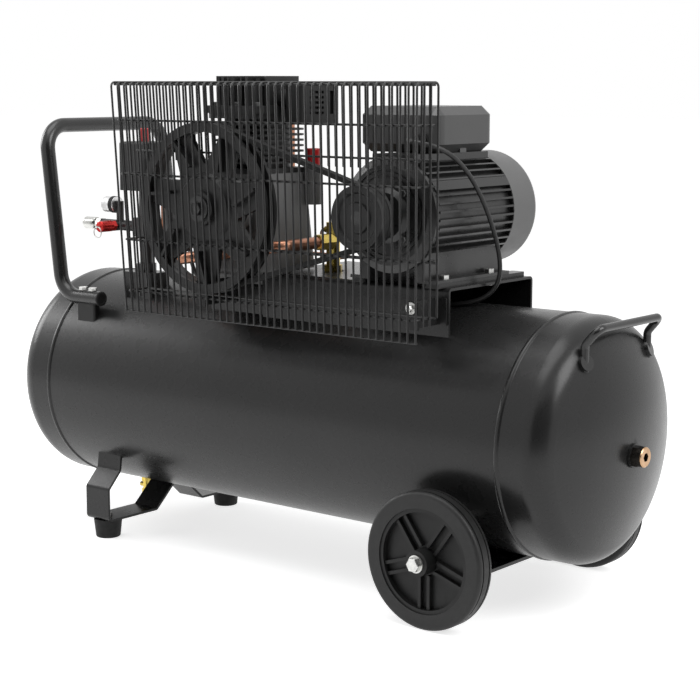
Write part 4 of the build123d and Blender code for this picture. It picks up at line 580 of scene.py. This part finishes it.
def handle_plugs():
    """Rubber plugs in the open ends of the pull handle."""
    stem_r, stem_len = 0.0104, 0.006
    flange_r, flange_t = 0.0125, 0.0022
    rim_outer_r, rim_inner_r, rim_h = 0.0108, 0.0085, 0.0035
    dish_r, dish_h = 0.008, 0.0012
    end_x, end_y, end_z = -0.38, 0.14, 0.412
    plug = [
        (0, -stem_len),
        (stem_r, -stem_len),
        (stem_r, 0),
        (flange_r, 0),
        (flange_r, flange_t),
        (rim_outer_r, rim_h),
        (rim_inner_r, rim_h),
        (dish_r, dish_h),
        (0, dish_h),
    ]
    mesh = bmesh.new()
    for side in (-1, 1):
        add_turned(mesh, plug, (end_x, side * end_y, end_z), to_wheels, sides=32)
    make_piece("handle_plugs", mesh, rubber)


# Case of the pressure gauge, whose front is at the low X, and the place of its dial
gauge_low, gauge_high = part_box("pressure_gauge")
gauge_y = (gauge_low[1] + gauge_high[1]) / 2
gauge_z = (gauge_low[2] + gauge_high[2]) / 2
gauge_r = (gauge_high[1] - gauge_low[1]) / 2
dial_depth = 0.004
dial_centre = Vector((gauge_low[0] + dial_depth, gauge_y, gauge_z))
gauge_sides = 48


def gauge_dial():
    """White dial with a hole for the needle's pin."""
    pin_hole_r = 0.0019
    dial_r = gauge_r - 0.0018
    dial_t, dial_bevel = 0.0003, 0.0001
    mesh = bmesh.new()
    add_sleeve(mesh, pin_hole_r, dial_r, dial_t, dial_bevel, dial_centre, to_left, gauge_sides)
    make_piece("gauge_dial", mesh, dial_white)


def gauge_marks():
    """Scale marks over three quarters of the dial, each third one longer and wider."""
    marks = 28
    first_deg, step_deg = -45, 10
    long_half, short_half = 0.0003, 0.00018
    long_inset, short_inset, outer_inset = 0.0048, 0.0038, 0.0026
    lift = Vector(to_left) * 0.00035
    mark_t = Vector(to_wheels) * 0.0002
    mesh = bmesh.new()
    for number in range(marks):
        angle = math.radians(first_deg + step_deg * number)
        is_long = number % 3 == 0
        out = Vector((0, math.cos(angle), math.sin(angle)))
        across = Vector((0, -math.sin(angle), math.cos(angle)))
        across *= long_half if is_long else short_half
        start = dial_centre + lift + out * (gauge_r - (long_inset if is_long else short_inset))
        stop = dial_centre + lift + out * (gauge_r - outer_inset)
        corners = [start + across, stop + across, stop - across, start - across]
        front = [mesh.verts.new(corner) for corner in corners]
        rear = [mesh.verts.new(corner + mark_t) for corner in corners]
        join_rings(mesh, front, rear)
        mesh.faces.new(front)
        mesh.faces.new(rear[::-1])
    make_piece("gauge_marks", mesh, dial_ink)


def gauge_boot():
    """Rubber band round the rear of the case."""
    grip, wall_out = 0.0002, 0.0005
    length, bevel = 0.009, 0.0003
    rear_inset = 0.001
    rear = (gauge_high[0] - rear_inset, gauge_y, gauge_z)
    mesh = bmesh.new()
    add_sleeve(
        mesh, gauge_r - grip, gauge_r + wall_out, length, bevel, rear, to_left, gauge_sides,
    )
    make_piece("gauge_boot", mesh, rubber)


def gauge_lens():
    """Clear lens, slightly domed, in the front rim of the case."""
    rim_r = gauge_r - 0.0017
    lens_t, dome = 0.0006, 0.0004
    recess = 0.0007
    profile = [(0, -lens_t), (rim_r, -lens_t), (rim_r, 0), (0, dome)]
    mesh = bmesh.new()
    add_turned(mesh, profile, (gauge_low[0] + recess, gauge_y, gauge_z), to_left, gauge_sides)
    make_piece("gauge_lens", mesh, lens)


guard_cage()
motor_cable()
weld_beads()
small_bolts()
guard_bolts()
pipe_nuts()
handle_plugs()
gauge_dial()
gauge_marks()
gauge_boot()
gauge_lens()


# Studio


def seen_rays(tree):
    """One for a ray from the camera, a mirror or glass, nought for light on the object."""
    rays = tree.nodes.new("ShaderNodeLightPath")
    total = rays.outputs["Is Camera Ray"]
    for name in ("Is Glossy Ray", "Is Transmission Ray"):
        greater = tree.nodes.new("ShaderNodeMath")
        greater.operation = "MAXIMUM"
        tree.links.new(total, greater.inputs[0])
        tree.links.new(rays.outputs[name], greater.inputs[1])
        total = greater.outputs[0]
    return total


def add_sheet(name, half_x, half_y):
    """Flat rectangle about the origin."""
    corners = [
        (-half_x, -half_y, 0), (half_x, -half_y, 0), (half_x, half_y, 0), (-half_x, half_y, 0),
    ]
    mesh = bpy.data.meshes.new(name)
    mesh.from_pydata(corners, [], [(0, 1, 2, 3)])
    sheet = bpy.data.objects.new(name, mesh)
    scene.collection.objects.link(sheet)
    return sheet


def white_floor():
    """Pale floor that shows white around the object and keeps its shadow."""
    half_side = 30
    glow_strength = 0.72
    floor_grey = 0.75
    material = bpy.data.materials.new("floor")
    material.use_nodes = True
    tree = material.node_tree
    tree.nodes.clear()
    glow = tree.nodes.new("ShaderNodeEmission")
    level = tree.nodes.new("ShaderNodeMath")
    level.operation = "MULTIPLY"
    level.inputs[1].default_value = glow_strength
    tree.links.new(seen_rays(tree), level.inputs[0])
    tree.links.new(level.outputs[0], glow.inputs["Strength"])
    matt = tree.nodes.new("ShaderNodeBsdfDiffuse")
    matt.inputs["Color"].default_value = (floor_grey, floor_grey, floor_grey, 1)
    both = tree.nodes.new("ShaderNodeAddShader")
    tree.links.new(matt.outputs[0], both.inputs[0])
    tree.links.new(glow.outputs[0], both.inputs[1])
    surface = tree.nodes.new("ShaderNodeOutputMaterial")
    tree.links.new(both.outputs[0], surface.inputs["Surface"])
    floor = add_sheet("floor", half_side, half_side)
    floor.data.materials.append(material)


def dark_flag():
    """Black cloth behind the camera, which the black paint mirrors and the camera doesn't see."""
    half_width, half_height = 2.4, 1.6
    spot = (2.4, -2.87, 1.3)
    facing = (-0.6245, 0.7659, -0.1)
    flag = add_sheet("flag", half_width, half_height)
    flag.matrix_world = placed(spot, facing)
    flag.visible_camera = False
    flag.data.materials.append(grey("flag_cloth", 0.004, 0.006, (0.8, 0.9), shine=0.0))


def white_world():
    """White background, with softer light on the object."""
    soft_strength, white_strength = 0.4, 1.0
    world = bpy.data.worlds.new("studio")
    scene.world = world
    world.use_nodes = True
    tree = world.node_tree
    tree.nodes.clear()
    choose = tree.nodes.new("ShaderNodeMixShader")
    tree.links.new(seen_rays(tree), choose.inputs[0])
    for socket, strength in ((1, soft_strength), (2, white_strength)):
        light = tree.nodes.new("ShaderNodeBackground")
        light.inputs["Color"].default_value = (1, 1, 1, 1)
        light.inputs["Strength"].default_value = strength
        tree.links.new(light.outputs[0], choose.inputs[socket])
    surface = tree.nodes.new("ShaderNodeOutputWorld")
    tree.links.new(choose.outputs[0], surface.inputs["Surface"])


def add_lamp(name, spot, target, power, size):
    """Square area lamp that points at a target."""
    lamp = bpy.data.lights.new(name, "AREA")
    lamp.energy = power
    lamp.size = size
    holder = bpy.data.objects.new(name, lamp)
    holder.location = spot
    aim = Vector(target) - Vector(spot)
    holder.rotation_euler = aim.to_track_quat("-Z", "Y").to_euler()
    scene.collection.objects.link(holder)


def photo_camera():
    """Camera where the photograph was taken from."""
    spot = (1.8129, -2.1547, 0.7801)
    right = (0.7750, 0.6319, 0.0)
    up = (-0.0967, 0.1187, 0.9882)
    back = (0.6245, -0.7659, 0.1531)
    camera_data = bpy.data.cameras.new("camera")
    camera_data.sensor_width = 36.0
    camera_data.lens = 89.27
    camera_data.clip_end = 100.0
    camera = bpy.data.objects.new("camera", camera_data)
    turn = Matrix((right, up, back)).transposed().to_4x4()
    camera.matrix_world = Matrix.Translation(spot) @ turn
    scene.collection.objects.link(camera)
    scene.camera = camera


white_floor()
dark_flag()
white_world()
add_lamp("key", spot=(2.6, -0.1, 2.3), target=(0.1, 0.0, 0.4), power=50, size=1.6)
add_lamp("top", spot=(-0.2, -0.6, 3.0), target=(0.0, 0.0, 0.4), power=38, size=2.0)
add_lamp("side", spot=(-2.8, -0.6, 1.5), target=(-0.3, 0.0, 0.5), power=30, size=1.2)
photo_camera()
